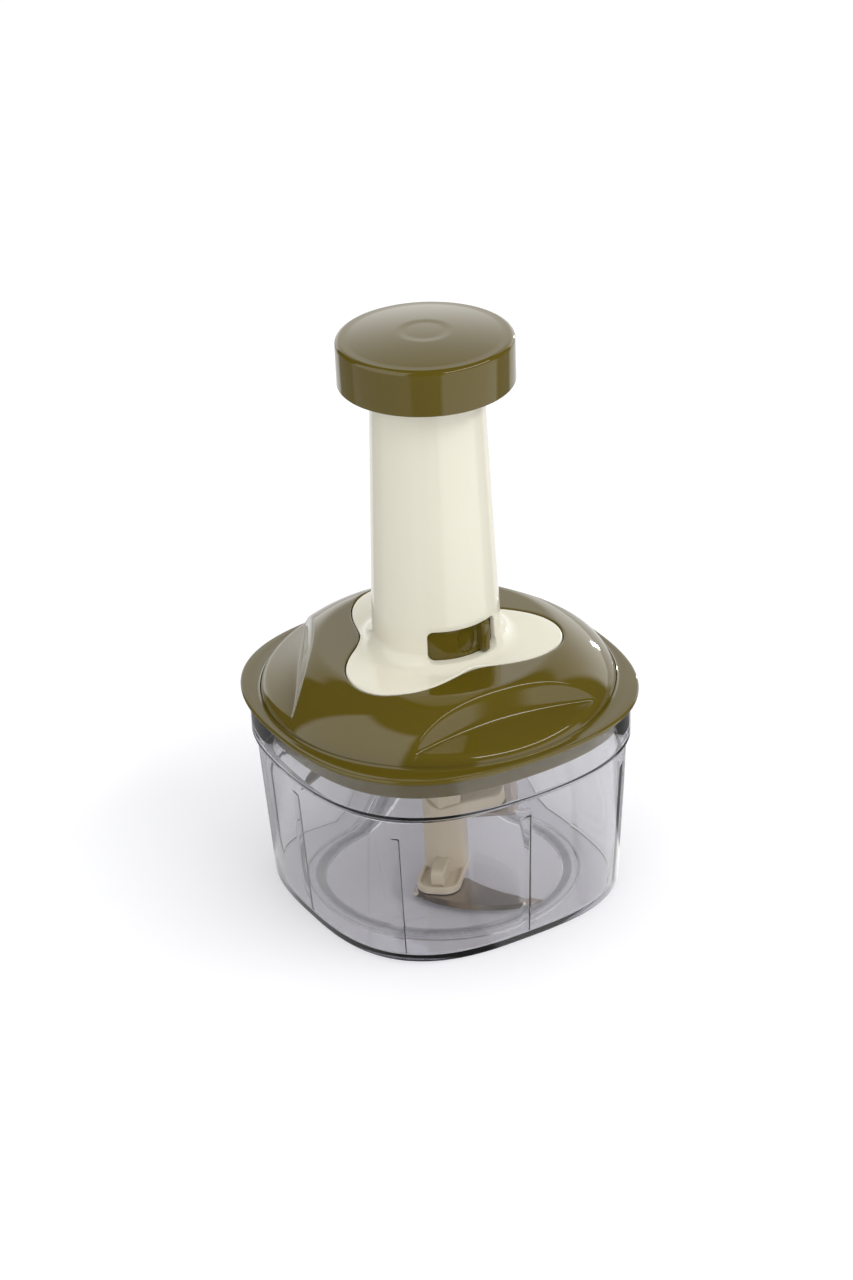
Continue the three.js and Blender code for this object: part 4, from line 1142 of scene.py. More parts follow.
class CHOPPER_OT_handle(bpy.types.Operator):
    """The cream handle: a tapered tube on a three-lobed plate, with the lock window"""

    bl_idname = "chopper.handle"
    bl_label = "Handle"

    # Points round the handle, and rings on its fillet, up its tube and inside the lock room
    COLUMNS = 240
    FILLET_RINGS = 14
    TUBE_RINGS = 22
    ROOM_RINGS = (0.8, 0.6, 0.4, 0.2, 0)
    # How the window flares: its growth and its level at the outer surface, in softnesses of its edge
    WINDOW_FLARE = ((0, -1), (0.08, -0.6), (0.3, -0.28), (0.7, -0.06), (1.3, 0.3))

    def execute(self, context):
        size = context.scene.chopper_handle
        rings = Rings(even_angles(self.COLUMNS))
        self.add_rings(size, rings)
        housing = spun("tapered_handle", rings.loops())
        combine(housing, self.window_tool(size))
        dressed(housing, "lid", "cream_plastic", ["handle_housing"], smooth=35)
        return {"FINISHED"}

    def surface(self, size, height):
        """Radius of the handle's outside at a height above its plate."""
        top = housing_low.z + size.plate_thick
        bend = np.clip((height - top) / size.fillet, 0, 1)
        fillet = size.fillet * (1 - np.sqrt(1 - (1 - bend) ** 2))
        up = np.clip((height - top - size.fillet) / (housing_high.z - top - size.fillet), 0, 1)
        return size.foot_radius + fillet + (size.top_radius - size.foot_radius) * up

    def add_rings(self, size, rings):
        """Every ring, from the lock room out over the plate, up the tube and back down inside."""
        outline = plate_outline(rings.around)
        bottom = housing_low.z
        top = bottom + size.plate_thick
        edge, fillet, lip, small = size.plate_round, size.fillet, size.lip_round, 0.3 * MM
        centre = size.foot_radius + fillet

        def plate_height(radius):
            run = np.clip(centre - radius, 0, fillet)
            return top + fillet - np.sqrt(fillet**2 - run**2)

        rings.add((size.room_radius + small, bottom), (outline - small, bottom), (outline, bottom + small))
        rings.arc(outline - edge, plate_height(outline - edge) - edge, edge, 0, 1, steps=6)
        start = np.minimum(outline - edge, centre)
        # The last of these rings steps in a little, so that it never falls on the one before it
        for part, inward in ((0.3, 0), (0.6, 0), (0.85, 0), (1, 0.02 * MM)):
            radius = (outline - edge) + (start - outline + edge) * part
            rings.add((radius - inward, plate_height(radius)))
        first = np.arcsin(np.clip((centre - start) / fillet, 0, 1))
        for step in range(1, self.FILLET_RINGS + 1):
            bend = first + (TURN / 4 - first) * step / self.FILLET_RINGS
            rings.add((centre - fillet * np.sin(bend), top + fillet * (1 - np.cos(bend))))
        tube_bottom = top + fillet
        for step in range(1, self.TUBE_RINGS):
            height = tube_bottom + (housing_high.z - lip - tube_bottom) * step / self.TUBE_RINGS
            rings.add((self.surface(size, height), height))
        rings.arc(size.top_radius - lip, housing_high.z - lip, lip, 0, 1)
        inner = size.top_radius - size.wall
        rings.add(
            (inner + small, housing_high.z),
            (inner, housing_high.z - small),
            (self.surface(size, size.room_top) - size.wall, size.room_top),
            (size.room_radius, size.room_top),
        )
        for part in self.ROOM_RINGS:
            height = bottom + small + (size.room_top - bottom - small) * part
            rings.add((size.room_radius, height))

    def window_tool(self, size):
        """A block of the window's outline, wrapped round the tube and flared at the outer surface."""
        half = size.room_radius * size.window_half
        outline = rounded_rectangle(
            -half, size.window_bottom, half, size.window_top, size.window_round, steps=8, run=0.8 * MM)
        soft = size.window_soft

        def wrapped(shape, radius):
            around = window_middle() + shape[:, 0] / size.room_radius
            return np.stack([radius * np.cos(around), radius * np.sin(around), shape[:, 1]], axis=1)

        loops = [wrapped(outline, size.room_radius - 1.5 * MM)]
        for margin, level in self.WINDOW_FLARE:
            shape = grown(outline, margin * soft)
            loops.append(wrapped(shape, self.surface(size, shape[:, 1]) + level * soft))
        loops.append(loops[-1] * [1.2, 1.2, 1])
        return raised("window_tool", loops)


class CHOPPER_OT_lock(bpy.types.Operator):
    """The turning lock: a ring behind the window with a thumb scoop, a nub and latch teeth"""

    bl_idname = "chopper.lock"
    bl_label = "Lock"

    # Degrees to either side of the window that have fine columns, and the steps there and elsewhere
    FINE_HALF = 44
    FINE_STEP = 0.5
    COARSE_STEP = 2
    # Heights of the rows across the thumb scoop, in millimetres
    SCOOP_ROWS = (101, 117, 0.35)

    def execute(self, context):
        size = context.scene.chopper_lock
        fine = np.radians(np.arange(-self.FINE_HALF, self.FINE_HALF, self.FINE_STEP))
        coarse = np.radians(np.arange(self.FINE_HALF, 360 - self.FINE_HALF, self.COARSE_STEP))
        around = window_middle() + np.concatenate([fine, coarse])
        edge = size.edge_round
        inner = size.radius - size.wall
        teeth = ring_high.z - size.tooth_height
        radius, height = open_rows([
            (inner, ring_low.z, edge, 0),
            (size.radius, ring_low.z, edge, 0),
            *[(size.radius, height * MM, 0, 0) for height in np.arange(*self.SCOOP_ROWS)],
            (size.radius, ring_high.z, edge, 0),
            (inner, ring_high.z, edge, 0),
            (inner, teeth + 0.02 * MM, 0, 0),
            (inner, teeth - 0.02 * MM, 0, 0),
        ], around)
        off = around - window_middle()
        radius = self.scooped(size, context.scene.chopper_handle, radius, height, off)
        radius = self.toothed(size, radius, height, off, teeth, inner)
        ring = spun("lock_shutter", loops_at(radius, height, around))
        combine(ring, self.nub(size, context.scene.chopper_handle), "UNION")
        dressed(ring, "lock", "olive_plastic", ["lock_ring"], smooth=35)
        return {"FINISHED"}

    def scooped(self, size, handle, radius, height, off):
        """Sinks the thumb scoop into the ring's outside."""
        top = handle.window_top + size.scoop_over
        bottom = top - size.scoop_height
        half = size.scoop_width / 2
        corner = half - 0.3 * MM
        x = np.abs(radius * (off - size.scoop_place)) - (half - corner)
        y = np.abs(height - (top + bottom) / 2) - (size.scoop_height / 2 - corner)
        outside = np.hypot(np.maximum(x, 0), np.maximum(y, 0)) + np.minimum(np.maximum(x, y), 0) - corner
        sunk = smooth_step(0.5 - outside / size.scoop_edge)
        outer = radius > size.radius - 0.05 * MM
        return np.where(outer, radius - size.scoop_depth * sunk, radius)

    def toothed(self, size, radius, height, off, teeth, inner):
        """Draws the ring's upper inside in at each latch tooth."""
        tooth = np.abs(from_nearest(off, leaf_sector())) < size.tooth_angle / 2
        inside = (radius < inner + size.edge_round + 0.01 * MM) & (height > teeth)
        return np.where(inside & tooth, radius - (inner - size.tooth_inner), radius)

    def nub(self, size, handle):
        """The upright nub that a finger pushes: a block with rounded edges."""
        middle = (handle.window_bottom + handle.window_top) / 2
        height = handle.window_top - handle.window_bottom - 2 * FIT
        start = size.radius - size.wall / 2
        depth = size.radius + size.nub_proud - start
        nub = block([depth, size.nub_width, height], [start + depth / 2, 0, middle])
        soften(nub, size.nub_round, segments=4)
        set_round(nub, window_middle() + size.nub_place)
        return nub


class CHOPPER_OT_knob(bpy.types.Operator):
    """The olive palm knob and the ring that closes it"""

    bl_idname = "chopper.knob"
    bl_label = "Knob"

    CROWN_ROWS = 48

    def execute(self, context):
        size = context.scene.chopper_knob
        outer = knob_high.x
        inner = outer - size.wall
        top = knob_high.z
        ceiling = top - size.ceiling_depth
        boss_end = ceiling - size.boss_length
        rim = outer - size.edge_round
        # One smooth run of rows over the crown and down into the dish
        crown = []
        for radius in np.linspace(0.98 * rim, 0.4 * MM, self.CROWN_ROWS):
            dish = size.dish_depth * float(smooth_step((size.dish_radius - radius) / size.dish_edge))
            crown.append((radius, top - size.crown * (radius / rim) ** 2 - dish))
        knob = turned("palm_knob", [
            (0, ceiling - FIT),
            (size.screw_hole, ceiling - FIT, 0.2 * MM),
            (size.screw_hole, boss_end, 0.2 * MM),
            (size.boss_radius, boss_end, 0.5 * MM),
            (size.boss_radius, ceiling, 0.6 * MM),
            (inner, ceiling, 2 * MM),
            (inner, knob_low.z, 0.3 * MM),
            (outer, knob_low.z, size.skirt_round),
            (outer, top - size.crown, size.edge_round),
            *crown,
            (0, top - size.dish_depth),
        ], sides=192, steps=10)
        dressed(knob, "plunger", "olive_plastic", ["knob_cap"])
        edge = 0.5 * MM
        inside = self.insert_bore(context)
        insert = turned("knob_closing_ring", [
            (inside, insert_low.z, edge),
            (inner - FIT, insert_low.z, edge),
            (inner - FIT, insert_high.z, edge),
            (inside, insert_high.z, edge),
        ], closed=True, sides=160)
        dressed(insert, "plunger", "olive_plastic", ["knob_insert"])
        return {"FINISHED"}

    def insert_bore(self, context):
        """The closing ring's bore, which clears the handle at the height of the knob's lower edge."""
        handle = context.scene.chopper_handle
        plate_top = housing_low.z + handle.plate_thick
        up = (knob_low.z - plate_top) / (housing_high.z - plate_top)
        return handle.foot_radius + (handle.top_radius - handle.foot_radius) * up + 2 * FIT


class CHOPPER_OT_plunger(bpy.types.Operator):
    """The plunger tube with its stop flange, and the bush that guides it"""

    bl_idname = "chopper.plunger"
    bl_label = "Plunger"

    # Degrees from one column of the tube to the next
    COLUMN_STEP = 2

    def execute(self, context):
        size = context.scene.chopper_plunger
        knob = context.scene.chopper_knob
        lock = context.scene.chopper_lock
        web_top = knob_high.z - knob.ceiling_depth - knob.boss_length - FIT
        edge = size.edge_round
        corners = [
            (size.bore, tube_low.z, edge),
            (size.radius, tube_low.z, edge),
            (size.radius, size.flange_bottom, edge),
            (size.flange, size.flange_bottom, edge),
            (size.flange, size.flange_top, edge),
            (size.radius, size.flange_top, edge),
            (size.radius, tube_high.z, edge),
            (size.bore, tube_high.z, edge),
            (size.bore, web_top, 0),
            (knob.screw_hole, web_top, 0),
            (knob.screw_hole, web_top - size.web, 0),
            (size.bore, web_top - size.web, edge),
        ]
        around = np.radians(np.arange(0, 360, self.COLUMN_STEP)) + context.scene.chopper_lid.turned_by
        radius, height = open_rows(corners, around)
        away = np.abs(from_nearest(around - (window_middle() - lock.travel), leaf_sector()))
        notch = away < lock.tooth_angle / 2 + FIT / size.radius
        radius = np.where(notch, np.minimum(radius, size.flange - size.notch_depth), radius)
        tube = spun("plunger_sleeve", loops_at(radius, height, around))
        dressed(tube, "plunger", "cream_plastic", ["plunger_tube"])
        handle = context.scene.chopper_handle
        inner = size.radius + FIT
        outer = handle.top_radius - handle.wall - FIT
        flange = housing_high.z + FIT
        small = 0.3 * MM
        bush = turned("guide_ring", [
            (inner, guide_low.z, small),
            (outer, guide_low.z, small),
            (outer, flange, 0),
            (handle.top_radius, flange, small),
            (handle.top_radius, guide_high.z, small),
            (inner, guide_high.z, small),
        ], closed=True)
        dressed(bush, "lid", "white_plastic", ["guide_bush"])
        return {"FINISHED"}


class CHOPPER_OT_rotor(bpy.types.Operator):
    """The blade rotor: a hexagonal stem with rimmed clamps, and three curved blades"""

    bl_idname = "chopper.rotor"
    bl_label = "Rotor"

    # Control points of a blade's cutting edge and of its back, as shares of its reach
    EDGE_POINTS = ((0.035, -0.486), (0.42, -0.56), (0.93, -0.36), (1, 0))
    BACK_POINT = (0.62, -0.13)
    CURVE_POINTS = 29

    def execute(self, context):
        size = context.scene.chopper_rotor
        self.stem(size)
        for tier in range(len(BLADES)):
            self.blade(size, tier)
        return {"FINISHED"}

    def stem(self, size):
        """The hexagonal column with its clamps and gussets."""
        top = stem_high.z
        half = size.stem_flats / math.sqrt(3) / 2 - size.edge_round * 1.6
        side = np.array([[size.stem_flats / 2, -half, 0], [size.stem_flats / 2, half, 0]])
        hexagon = np.concatenate([turn_points(side, (i + 0.5) * TURN / 6) for i in range(6)])[:, :2]
        stem = raised("blade_column", [at_height(hexagon * part, height) for part, height in (
            (0.97, stem_low.z),
            (1, stem_low.z + 0.3 * MM),
            (1, top - size.lead_in),
            (size.lead_share, top - 0.3 * MM),
            (size.lead_share - 0.05, top),
        )])
        for tier, node in enumerate(BLADES):
            _, blade_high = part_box(node)
            reach = size.upper_clamp if tier else size.lower_clamp
            for maker in (self.clamp, self.gusset):
                tool = maker(size, reach, blade_high.z + FIT)
                set_round(tool, tier * TURN / 3)
                combine(stem, tool, "UNION")
        below = stem_low.z - 5 * MM
        bore = turned("bore_tool", [
            (0, below), (size.bore, below), (size.bore, size.bore_top), (0, size.bore_top + 1 * MM),
        ], sides=48)
        combine(stem, bore)
        set_round(stem, size.turned_by)
        dressed(stem, "blade_rotor", "beige_plastic", ["blade_stem"], smooth=30)

    def clamp(self, size, reach, bottom):
        """A rimmed tongue in front of the stem."""
        half = size.clamp_half
        outline = rounded_rectangle(-half, -half, reach, half, size.clamp_corner, run=6 * MM)
        soft, rim = 0.25 * MM, size.clamp_rim
        tongue = bottom + size.clamp_thick
        top = tongue + size.rim_height
        return raised("clamp_tool", [at_height(grown(outline, margin), height) for margin, height in (
            (-soft, bottom),
            (0, bottom + soft),
            (0, top - soft),
            (-soft, top),
            (soft - rim, top),
            (-rim, top - soft),
            (-rim, tongue + soft),
            (-rim - soft, tongue),
        )])

    def gusset(self, size, reach, bottom):
        """The upright web on a clamp."""
        low = bottom + size.clamp_thick / 2
        high = bottom + size.clamp_thick + size.gusset_height
        outline = rounded_rectangle(0, low, reach - size.gusset_inset, high, size.gusset_round, run=6 * MM)
        half = size.gusset_width / 2
        soft = 0.35 * MM
        return raised("gusset_tool", [
            at_height(grown(outline, margin), -across)[:, [0, 2, 1]]
            for margin, across in ((-soft, -half), (0, soft - half), (0, half - soft), (-soft, half))])

    def blade(self, size, tier):
        """A curved blade with its convex edge ground thin."""
        node = BLADES[tier]
        low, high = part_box(node)
        reach = size.upper_reach if tier else size.lower_reach
        near = size.stem_flats / 2 + FIT

        def root(across):
            cos, sin = math.cos(-size.blade_lead), math.sin(-size.blade_lead)
            return np.array([near * cos - across * sin, near * sin + across * cos])

        part = np.linspace(0, 1, self.CURVE_POINTS)[:, None]
        pulls = np.array(self.EDGE_POINTS) * reach
        edge = curve(part, *pulls)
        back_end = root(size.clamp_half + size.clamp_rim)
        back = curve(part, pulls[-1], np.array(self.BACK_POINT) * reach, back_end)
        outline = np.concatenate([edge, back[1:], [root(-size.clamp_half)]])
        # The ground edge has its full width along most of the blade and fades out before the tip
        inset = np.zeros(len(outline))
        cutting = np.sin(np.clip(part[:, 0] * 1.08, 0, 1) * TURN / 2) ** 0.35
        inset[: len(edge)] = size.bevel_width * np.clip(cutting, 0.02, 1)
        ground = outline + (grown(outline, -1) - outline) * inset[:, None]
        levels = [(outline, low.z), (outline, low.z + size.bevel_land), (ground, high.z)]
        blade = raised(
            node.replace("_blade", "_cutter"), [at_height(shape, height) for shape, height in levels])
        set_round(blade, size.blade_lead + (size.turned_by + tier * TURN / 3))
        dressed(blade, "blade_rotor", "blade_steel", [node], smooth=12)


class CHOPPER_OT_drive(bpy.types.Operator):
    """The helical spindle, the drive cover, its bush and the return spring"""

    bl_idname = "chopper.drive"
    bl_label = "Drive"

    # Points round the bar's end and between its ends, and the steps of the spring
    END_POINTS = 9
    FLAT_POINTS = 4
    WIRE_POINTS = 10
    COIL_STEPS = 40
    # How far the tool for the cross hole reaches to either side
    HOLE_REACH = 8 * MM

    def execute(self, context):
        size = context.scene.chopper_drive
        self.spindle(size)
        self.cover(context, size)
        self.bush(size)
        self.spring(context.scene.chopper_small)
        return {"FINISHED"}

    def spindle(self, size):
        """A flat bar with round edges, twisted as a left-hand helix, on a round journal."""
        half_thick = size.bar_thick / 2
        half_flat = (size.bar_width - size.bar_thick) / 2
        bend = np.linspace(-TURN / 4, TURN / 4, self.END_POINTS)
        end = np.stack([half_flat + half_thick * np.cos(bend), half_thick * np.sin(bend)], axis=1)
        across = np.linspace(half_flat, -half_flat, self.FLAT_POINTS + 2)[1:-1]
        flat = np.stack([across, np.full(len(across), half_thick)], axis=1)
        section = np.concatenate([end, flat, -end, -flat])
        bottom, top = size.journal_top - 1 * MM, spindle_high.z
        tip = top - 0.4 * MM
        loops = []
        for height in np.append(np.arange(bottom, tip, 1 * MM), [tip, top]):
            shape = section * (0.9 if height == top else 1)
            loops.append(turn_points(at_height(shape, height), -TURN * height / size.lead))
        bar = raised("twisted_spindle", loops)
        small = 0.3 * MM
        journal = turned("journal_tool", [
            (0, spindle_low.z), (size.journal, spindle_low.z, small), (size.journal, size.journal_top, small),
            (0, size.journal_top)], sides=64)
        combine(bar, journal, "UNION")
        combine(bar, self.cross_hole())
        dressed(bar, "spindle", "blade_steel", ["helical_spindle"], smooth=40)

    def cross_hole(self):
        """The hole for the cross pin, along Y."""
        low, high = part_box("spindle_pin")
        hole = rod("cross_hole_tool", (high.z - low.z) / 2 + FIT, -self.HOLE_REACH, self.HOLE_REACH)
        points = points_of(hole)
        middle = (low.z + high.z) / 2
        move_points(hole, np.stack([points[:, 0], -points[:, 2], points[:, 1] + middle], axis=1))
        return hole

    def cover(self, context, size):
        """The plate under the lid, with a collar round the socket and its screw holes."""
        corner = context.scene.chopper_bowl.collar_corner
        edge = size.cover_round
        bottom = cover_low.z
        top = bottom + size.cover_thick
        collar = size.cover_hole + size.cover_wall
        cover = turned("lid_floor_plate", [
            (size.cover_hole, bottom, edge, 0),
            (size.cover_hole + 3 * MM, bottom, 0, 0),
            (size.cover_reach, bottom, edge, corner),
            (size.cover_reach, top, edge, corner),
            (collar + 4 * MM, top, 0, 0),
            (collar, top, edge, 0),
            (collar, cover_high.z, edge, 0),
            (size.cover_hole, cover_high.z, edge, 0),
        ], closed=True, sides=192)
        small = context.scene.chopper_small
        for leaf in range(context.scene.chopper_lid.leaf_count):
            hole = rod("screw_hole_tool", small.screw_radius + FIT, bottom - 1 * MM, top + 1 * MM)
            set_round(hole, leaf_start() + leaf * leaf_sector(), small.cover_place)
            combine(cover, hole)
        dressed(cover, "lid", "olive_plastic", ["drive_cover"])

    def bush(self, size):
        outer = size.bush_inner + size.bush_wall
        small = 0.25 * MM
        flange = bush_high.z - size.bush_flange
        bush = turned("socket_bush", [
            (size.bush_inner, bush_low.z, small),
            (outer, bush_low.z, small),
            (outer, flange, 0),
            (outer + size.cover_wall, flange, small),
            (outer + size.cover_wall, bush_high.z, small),
            (size.bush_inner, bush_high.z, small),
        ], closed=True)
        dressed(bush, "lid", "white_plastic", ["lower_bush"])

    def spring(self, size):
        """A wire circle driven up a helix, with its ends closed."""
        ring = even_angles(self.WIRE_POINTS)
        wire = size.wire / 2
        spring = outlined("coil_spring", np.stack([
            size.spring_radius + wire * np.cos(ring), 0 * ring, spring_low.z + wire + wire * np.sin(ring)],
            axis=1))
        screw = spring.modifiers.new("Coil", "SCREW")
        screw.steps = screw.render_steps = self.COIL_STEPS
        screw.iterations = size.spring_coils
        screw.screw_offset = (spring_high.z - spring_low.z - size.wire) / size.spring_coils
        screw.axis = "Z"
        apply_modifiers(spring)
        edit_all(spring)
        bpy.ops.mesh.fill_holes(sides=self.WIRE_POINTS + 2)
        bpy.ops.object.mode_set(mode="OBJECT")
        sew(spring)
        dressed(spring, "lid", "blade_steel", ["return_spring"], smooth=60)


class CHOPPER_OT_screws(bpy.types.Operator):
    """The screws: pan heads with a cross slot, standing on their heads"""

    bl_idname = "chopper.screws"
    bl_label = "Screws"

    def execute(self, context):
        size = context.scene.chopper_small
        for nodes, body, place, start in (
            ([f"housing_screw_{i}" for i in (1, 2, 3)], "lid", size.housing_place, lobe_start()),
            ([f"cover_screw_{i}" for i in (1, 2, 3)], "lid", size.cover_place, leaf_start()),
            (["knob_screw"], "plunger", 0, 0),
        ):
            low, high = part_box(nodes[0])
            screw = self.screw(size, low.z, high.z)
            for i, node in enumerate(nodes):
                self.placed(screw, node, body, place, start + i * TURN / 3)
            bpy.data.objects.remove(screw)
        return {"FINISHED"}

    def screw(self, size, bottom, top):
        """One screw with thread ridges, its head at the bottom, on the axis."""
        shoulder = bottom + size.head_height
        core = size.screw_radius - size.thread_depth
        tip = top - size.screw_radius
        thread_start = shoulder + 0.5 * MM
        ridges = int((tip - shoulder - 0.5 * MM) / size.thread_pitch)
        thread = []
        for i in range(ridges):
            low = thread_start + i * size.thread_pitch
            thread += [(core, low), (size.screw_radius, low + size.thread_pitch / 2)]
        screw = turned("screw", [
            (0, bottom),
            (size.head_radius, bottom, size.head_round),
            (size.head_radius, shoulder, 0.2 * MM),
            (core, shoulder),
            *thread,
            (core, tip),
            (0, top),
        ], sides=32)
        for along, across in ((size.slot_length, size.slot_width), (size.slot_width, size.slot_length)):
            combine(screw, block([along, across, 2 * size.slot_depth], [0, 0, bottom]))
        return screw

    def placed(self, screw, node, body, place, turned_by):
        """A copy of a screw with its own mesh, set at its place."""
        copy = bpy.data.objects.new(node.replace("screw", "fixing"), screw.data.copy())
        bpy.context.scene.collection.objects.link(copy)
        set_round(copy, turned_by, place)
        dressed(copy, body, "zinc_steel", [node], smooth=30)


class CHOPPER_OT_finishes(bpy.types.Operator):
    """The finishes of the nodes that show as they are"""

    bl_idname = "chopper.finishes"
    bl_label = "Finishes"

    def execute(self, context):
        for subpart in frame["record"]["subparts"]:
            node = frame["nodes"][subpart["node"]]
            node.data.materials.clear()
            node.data.materials.append(finish(subpart["material_slot"]))
        return {"FINISHED"}


class CHOPPER_OT_stage(bpy.types.Operator):
    """The floor, the light and the camera"""

    bl_idname = "chopper.stage"
    bl_label = "Stage"

    # Sectors of the floor that show in mirrored rays: their middle and half width in degrees, and
    # how bright they are
    FLOOR_SECTORS = ((178, 42, 0.35), (-62, 40, 1), (55, 45, 0.7))
    FLOOR_BASE = 0.3
    # How much the floor is lifted towards white where it is seen straight and through clear plastic
    CAMERA_LIFT = 0.2
    PASSING_LIFT = 0.03

    # Panels of the studio: their middle, half width, top and softness in degrees, and how bright
    PANELS = ((178, 37, 64, 3, 1.6), (55, 45, 42, 3, 0.75), (55, 45, 27, 19, 1), (-62, 36, 16, 3, 1.3))
    SECTOR_SOFT = 3
    # The studio's light between the panels, and all round for rays that aren't mirrored
    STUDIO_BASE = 0.07
    STUDIO_PLAIN = 0.86

    # Lamps: name, place, sides, power, colour and whether they show in mirrored rays
    LAMPS = (
        ("key", (0.53, -0.92, 1.16), (1.6, 0.2), 7.5, (1, 1, 1), True),
        ("front_fill", (-0.8, -1.45, 0.8), (2.4, 1.4), 4.2, (1, 1, 0.98), False),
        ("glint", (1.3, 0.762, 0.115), (0.055, 0.16), 1.3, (1, 1, 1), True),
    )
    AIM = Vector((0, 0, 0.1))

    def execute(self, context):
        size = context.scene.chopper_stage
        clear_selection()
        bpy.ops.mesh.primitive_plane_add(size=2 * size.floor_reach)
        floor = context.object
        floor.name = "floor"
        floor.data.materials.append(self.floor_material(context.scene.chopper_colours.table))
        self.world(context)
        self.lights()
        self.camera(context, size)
        context.scene.view_settings.view_transform = "Standard"
        return {"FINISHED"}

    def floor_material(self, table):
        """A pale floor, lifted towards white where it is seen straight or through clear plastic."""
        material = bpy.data.materials.new("floor")
        material.use_nodes = True
        tree = material.node_tree
        shader = tree.nodes["Principled BSDF"]
        shader.inputs["Base Color"].default_value = rgba(table)
        shader.inputs["Roughness"].default_value = 0.9
        shader.inputs["Specular IOR Level"].default_value = 0.1
        shader.inputs["Emission Color"].default_value = (0.98, 0.985, 1, 1)
        path = tree.nodes.new("ShaderNodeLightPath").outputs
        lift = calculated(tree, "MULTIPLY", path["Is Camera Ray"], self.CAMERA_LIFT)
        lift = calculated(tree, "MULTIPLY_ADD", path["Is Transmission Ray"], self.PASSING_LIFT, lift)
        tree.links.new(lift, shader.inputs["Emission Strength"])
        across, along, _ = coordinates(tree)
        bearing = calculated(tree, "ARCTAN2", along, across)
        shade = self.FLOOR_BASE
        for middle, half, strength in self.FLOOR_SECTORS:
            sector = self.sector(tree, bearing, middle, half)
            shade = calculated(tree, "MULTIPLY_ADD", sector, strength, shade)
        dim = tree.nodes.new("ShaderNodeEmission")
        tree.links.new(shade, dim.inputs["Strength"])
        mirrored = calculated(
            tree, "SUBTRACT", path["Is Glossy Ray"], path["Is Transmission Ray"], clamp=True)
        mixed_surface(tree, mirrored, shader.outputs["BSDF"], dim.outputs["Emission"])
        return material

    def world(self, context):
        """A studio round the object: white panels on the left, behind and in front, and dark gaps between."""
        world = bpy.data.worlds.new("studio")
        context.scene.world = world
        world.use_nodes = True
        tree = world.node_tree
        across, along, up = coordinates(tree, "Generated")
        bearing = calculated(tree, "ARCTAN2", along, across)
        light = self.STUDIO_BASE
        for middle, half, top, soft, strength in self.PANELS:
            head = self.fade(tree, up, math.sin(math.radians(top + soft)), math.sin(math.radians(top - soft)))
            panel = calculated(tree, "MULTIPLY", self.sector(tree, bearing, middle, half), head)
            light = calculated(tree, "MULTIPLY_ADD", panel, strength, light)
        path = tree.nodes.new("ShaderNodeLightPath").outputs
        light = calculated(tree, "MULTIPLY", path["Is Glossy Ray"], light)
        plain = calculated(tree, "SUBTRACT", 1, path["Is Glossy Ray"])
        light = calculated(tree, "MULTIPLY_ADD", plain, self.STUDIO_PLAIN, light)
        white = calculated(tree, "MAXIMUM", path["Is Camera Ray"], path["Is Transmission Ray"])
        background = tree.nodes["Background"]
        background.inputs["Color"].default_value = (1, 1, 1, 1)
        tree.links.new(calculated(tree, "MAXIMUM", white, light), background.inputs["Strength"])

    def sector(self, tree, bearing, middle, half):
        """One in a sector round the object, with soft sides."""
        turned_by = calculated(tree, "SUBTRACT", bearing, math.radians(middle))
        away = calculated(tree, "ABSOLUTE", calculated(tree, "WRAP", turned_by, TURN / 2, -TURN / 2))
        return self.fade(
            tree, away, math.radians(half + self.SECTOR_SOFT), math.radians(half - self.SECTOR_SOFT))

    def fade(self, tree, value, nothing, all_of_it):
        """Nought at one value, one at another, and smooth between them."""
        fade = tree.nodes.new("ShaderNodeMapRange")
        fade.interpolation_type = "SMOOTHSTEP"
        connect(tree, value, fade.inputs["Value"])
        fade.inputs["From Min"].default_value = nothing
        fade.inputs["From Max"].default_value = all_of_it
        return fade.outputs[0]

    def lights(self):
        """A key light and a small bright lamp that show as reflections, and a soft box that only fills."""
        for name, place, sides, power, tone, mirrored in self.LAMPS:
            lamp = bpy.data.lights.new(name, "AREA")
            lamp.shape = "RECTANGLE"
            lamp.size, lamp.size_y = sides
            lamp.energy = power
            lamp.color = tone
            box = bpy.data.objects.new(name, lamp)
            bpy.context.scene.collection.objects.link(box)
            box.location = place
            box.rotation_euler = (self.AIM - Vector(place)).to_track_quat("-Z", "Y").to_euler()
            box.visible_glossy = mirrored

    def camera(self, context, size):
        """A camera that looks down at the object, with the picture tilted a little."""
        lens = bpy.data.cameras.new("camera")
        lens.lens = size.lens
        lens.sensor_width = 36
        camera = bpy.data.objects.new("camera", lens)
        context.scene.collection.objects.link(camera)
        turned_by = size.azimuth
        flat, down = math.cos(size.elevation), math.sin(size.elevation)
        ahead = Vector((-math.sin(turned_by) * flat, math.cos(turned_by) * flat, -down))
        level = Vector((math.cos(turned_by), math.sin(turned_by), 0))
        right = level * math.cos(size.roll) + level.cross(ahead) * math.sin(size.roll)
        axes = Matrix((right, right.cross(ahead), -ahead)).transposed().to_4x4()
        camera.matrix_world = Matrix.Translation((size.camera_x, size.camera_y, size.camera_z)) @ axes
        context.scene.camera = camera


# Panel and registration


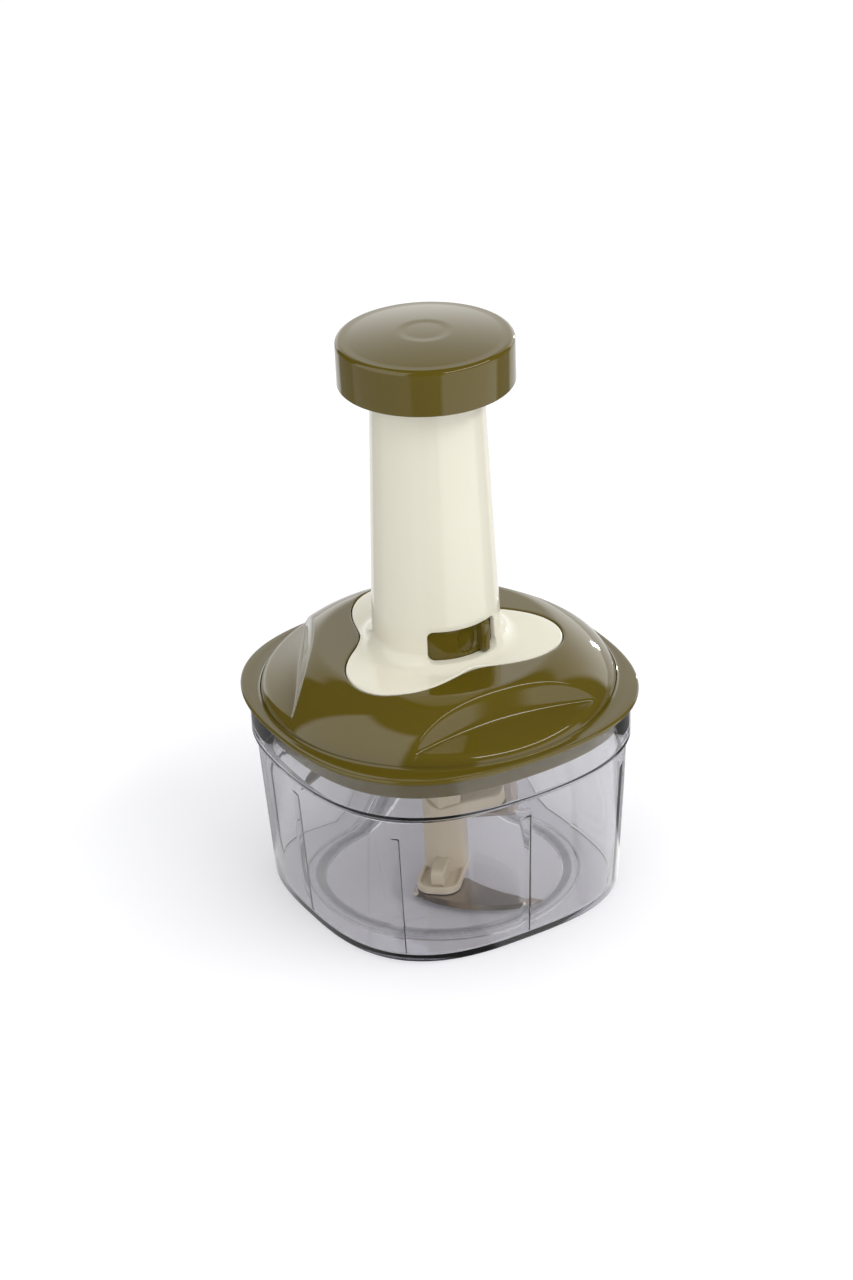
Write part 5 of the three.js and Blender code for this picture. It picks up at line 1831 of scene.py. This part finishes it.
class CHOPPER_PT_panel(bpy.types.Panel):
    """Lists the chopper's sizes and pieces"""

    bl_label = "Chopper"
    bl_idname = "CHOPPER_PT_panel"
    bl_space_type = "VIEW_3D"
    bl_region_type = "UI"
    bl_category = "Chopper"

    def draw(self, context):
        for name, sizes in PROPERTY_GROUPS:
            box = self.layout.box()
            box.label(text=sizes.__name__)
            for key in sizes.__annotations__:
                box.prop(getattr(context.scene, name), key)
        for operator in OPERATORS:
            self.layout.operator(operator.bl_idname)


PROPERTY_GROUPS = (
    ("chopper_bowl", BowlSizes),
    ("chopper_lid", LidSizes),
    ("chopper_handle", HandleSizes),
    ("chopper_lock", LockSizes),
    ("chopper_knob", KnobSizes),
    ("chopper_plunger", PlungerSizes),
    ("chopper_rotor", RotorSizes),
    ("chopper_drive", DriveSizes),
    ("chopper_small", SmallSizes),
    ("chopper_colours", Colours),
    ("chopper_stage", StageSizes),
)

OPERATORS = (
    CHOPPER_OT_finishes,
    CHOPPER_OT_bowl,
    CHOPPER_OT_lid,
    CHOPPER_OT_handle,
    CHOPPER_OT_lock,
    CHOPPER_OT_knob,
    CHOPPER_OT_plunger,
    CHOPPER_OT_rotor,
    CHOPPER_OT_drive,
    CHOPPER_OT_screws,
    CHOPPER_OT_stage,
)


def register():
    for name, sizes in PROPERTY_GROUPS:
        bpy.utils.register_class(sizes)
        setattr(bpy.types.Scene, name, PointerProperty(type=sizes))
    for operator in OPERATORS:
        bpy.utils.register_class(operator)
    bpy.utils.register_class(CHOPPER_PT_panel)


def unregister():
    bpy.utils.unregister_class(CHOPPER_PT_panel)
    for operator in reversed(OPERATORS):
        bpy.utils.unregister_class(operator)
    for name, sizes in reversed(PROPERTY_GROUPS):
        delattr(bpy.types.Scene, name)
        bpy.utils.unregister_class(sizes)


def main():
    register()
    bpy.ops.chopper.finishes()
    bpy.ops.chopper.bowl()
    bpy.ops.chopper.lid()
    bpy.ops.chopper.handle()
    bpy.ops.chopper.lock()
    bpy.ops.chopper.knob()
    bpy.ops.chopper.plunger()
    bpy.ops.chopper.rotor()
    bpy.ops.chopper.drive()
    bpy.ops.chopper.screws()
    bpy.ops.chopper.stage()


if __name__ == "__main__":
    main()
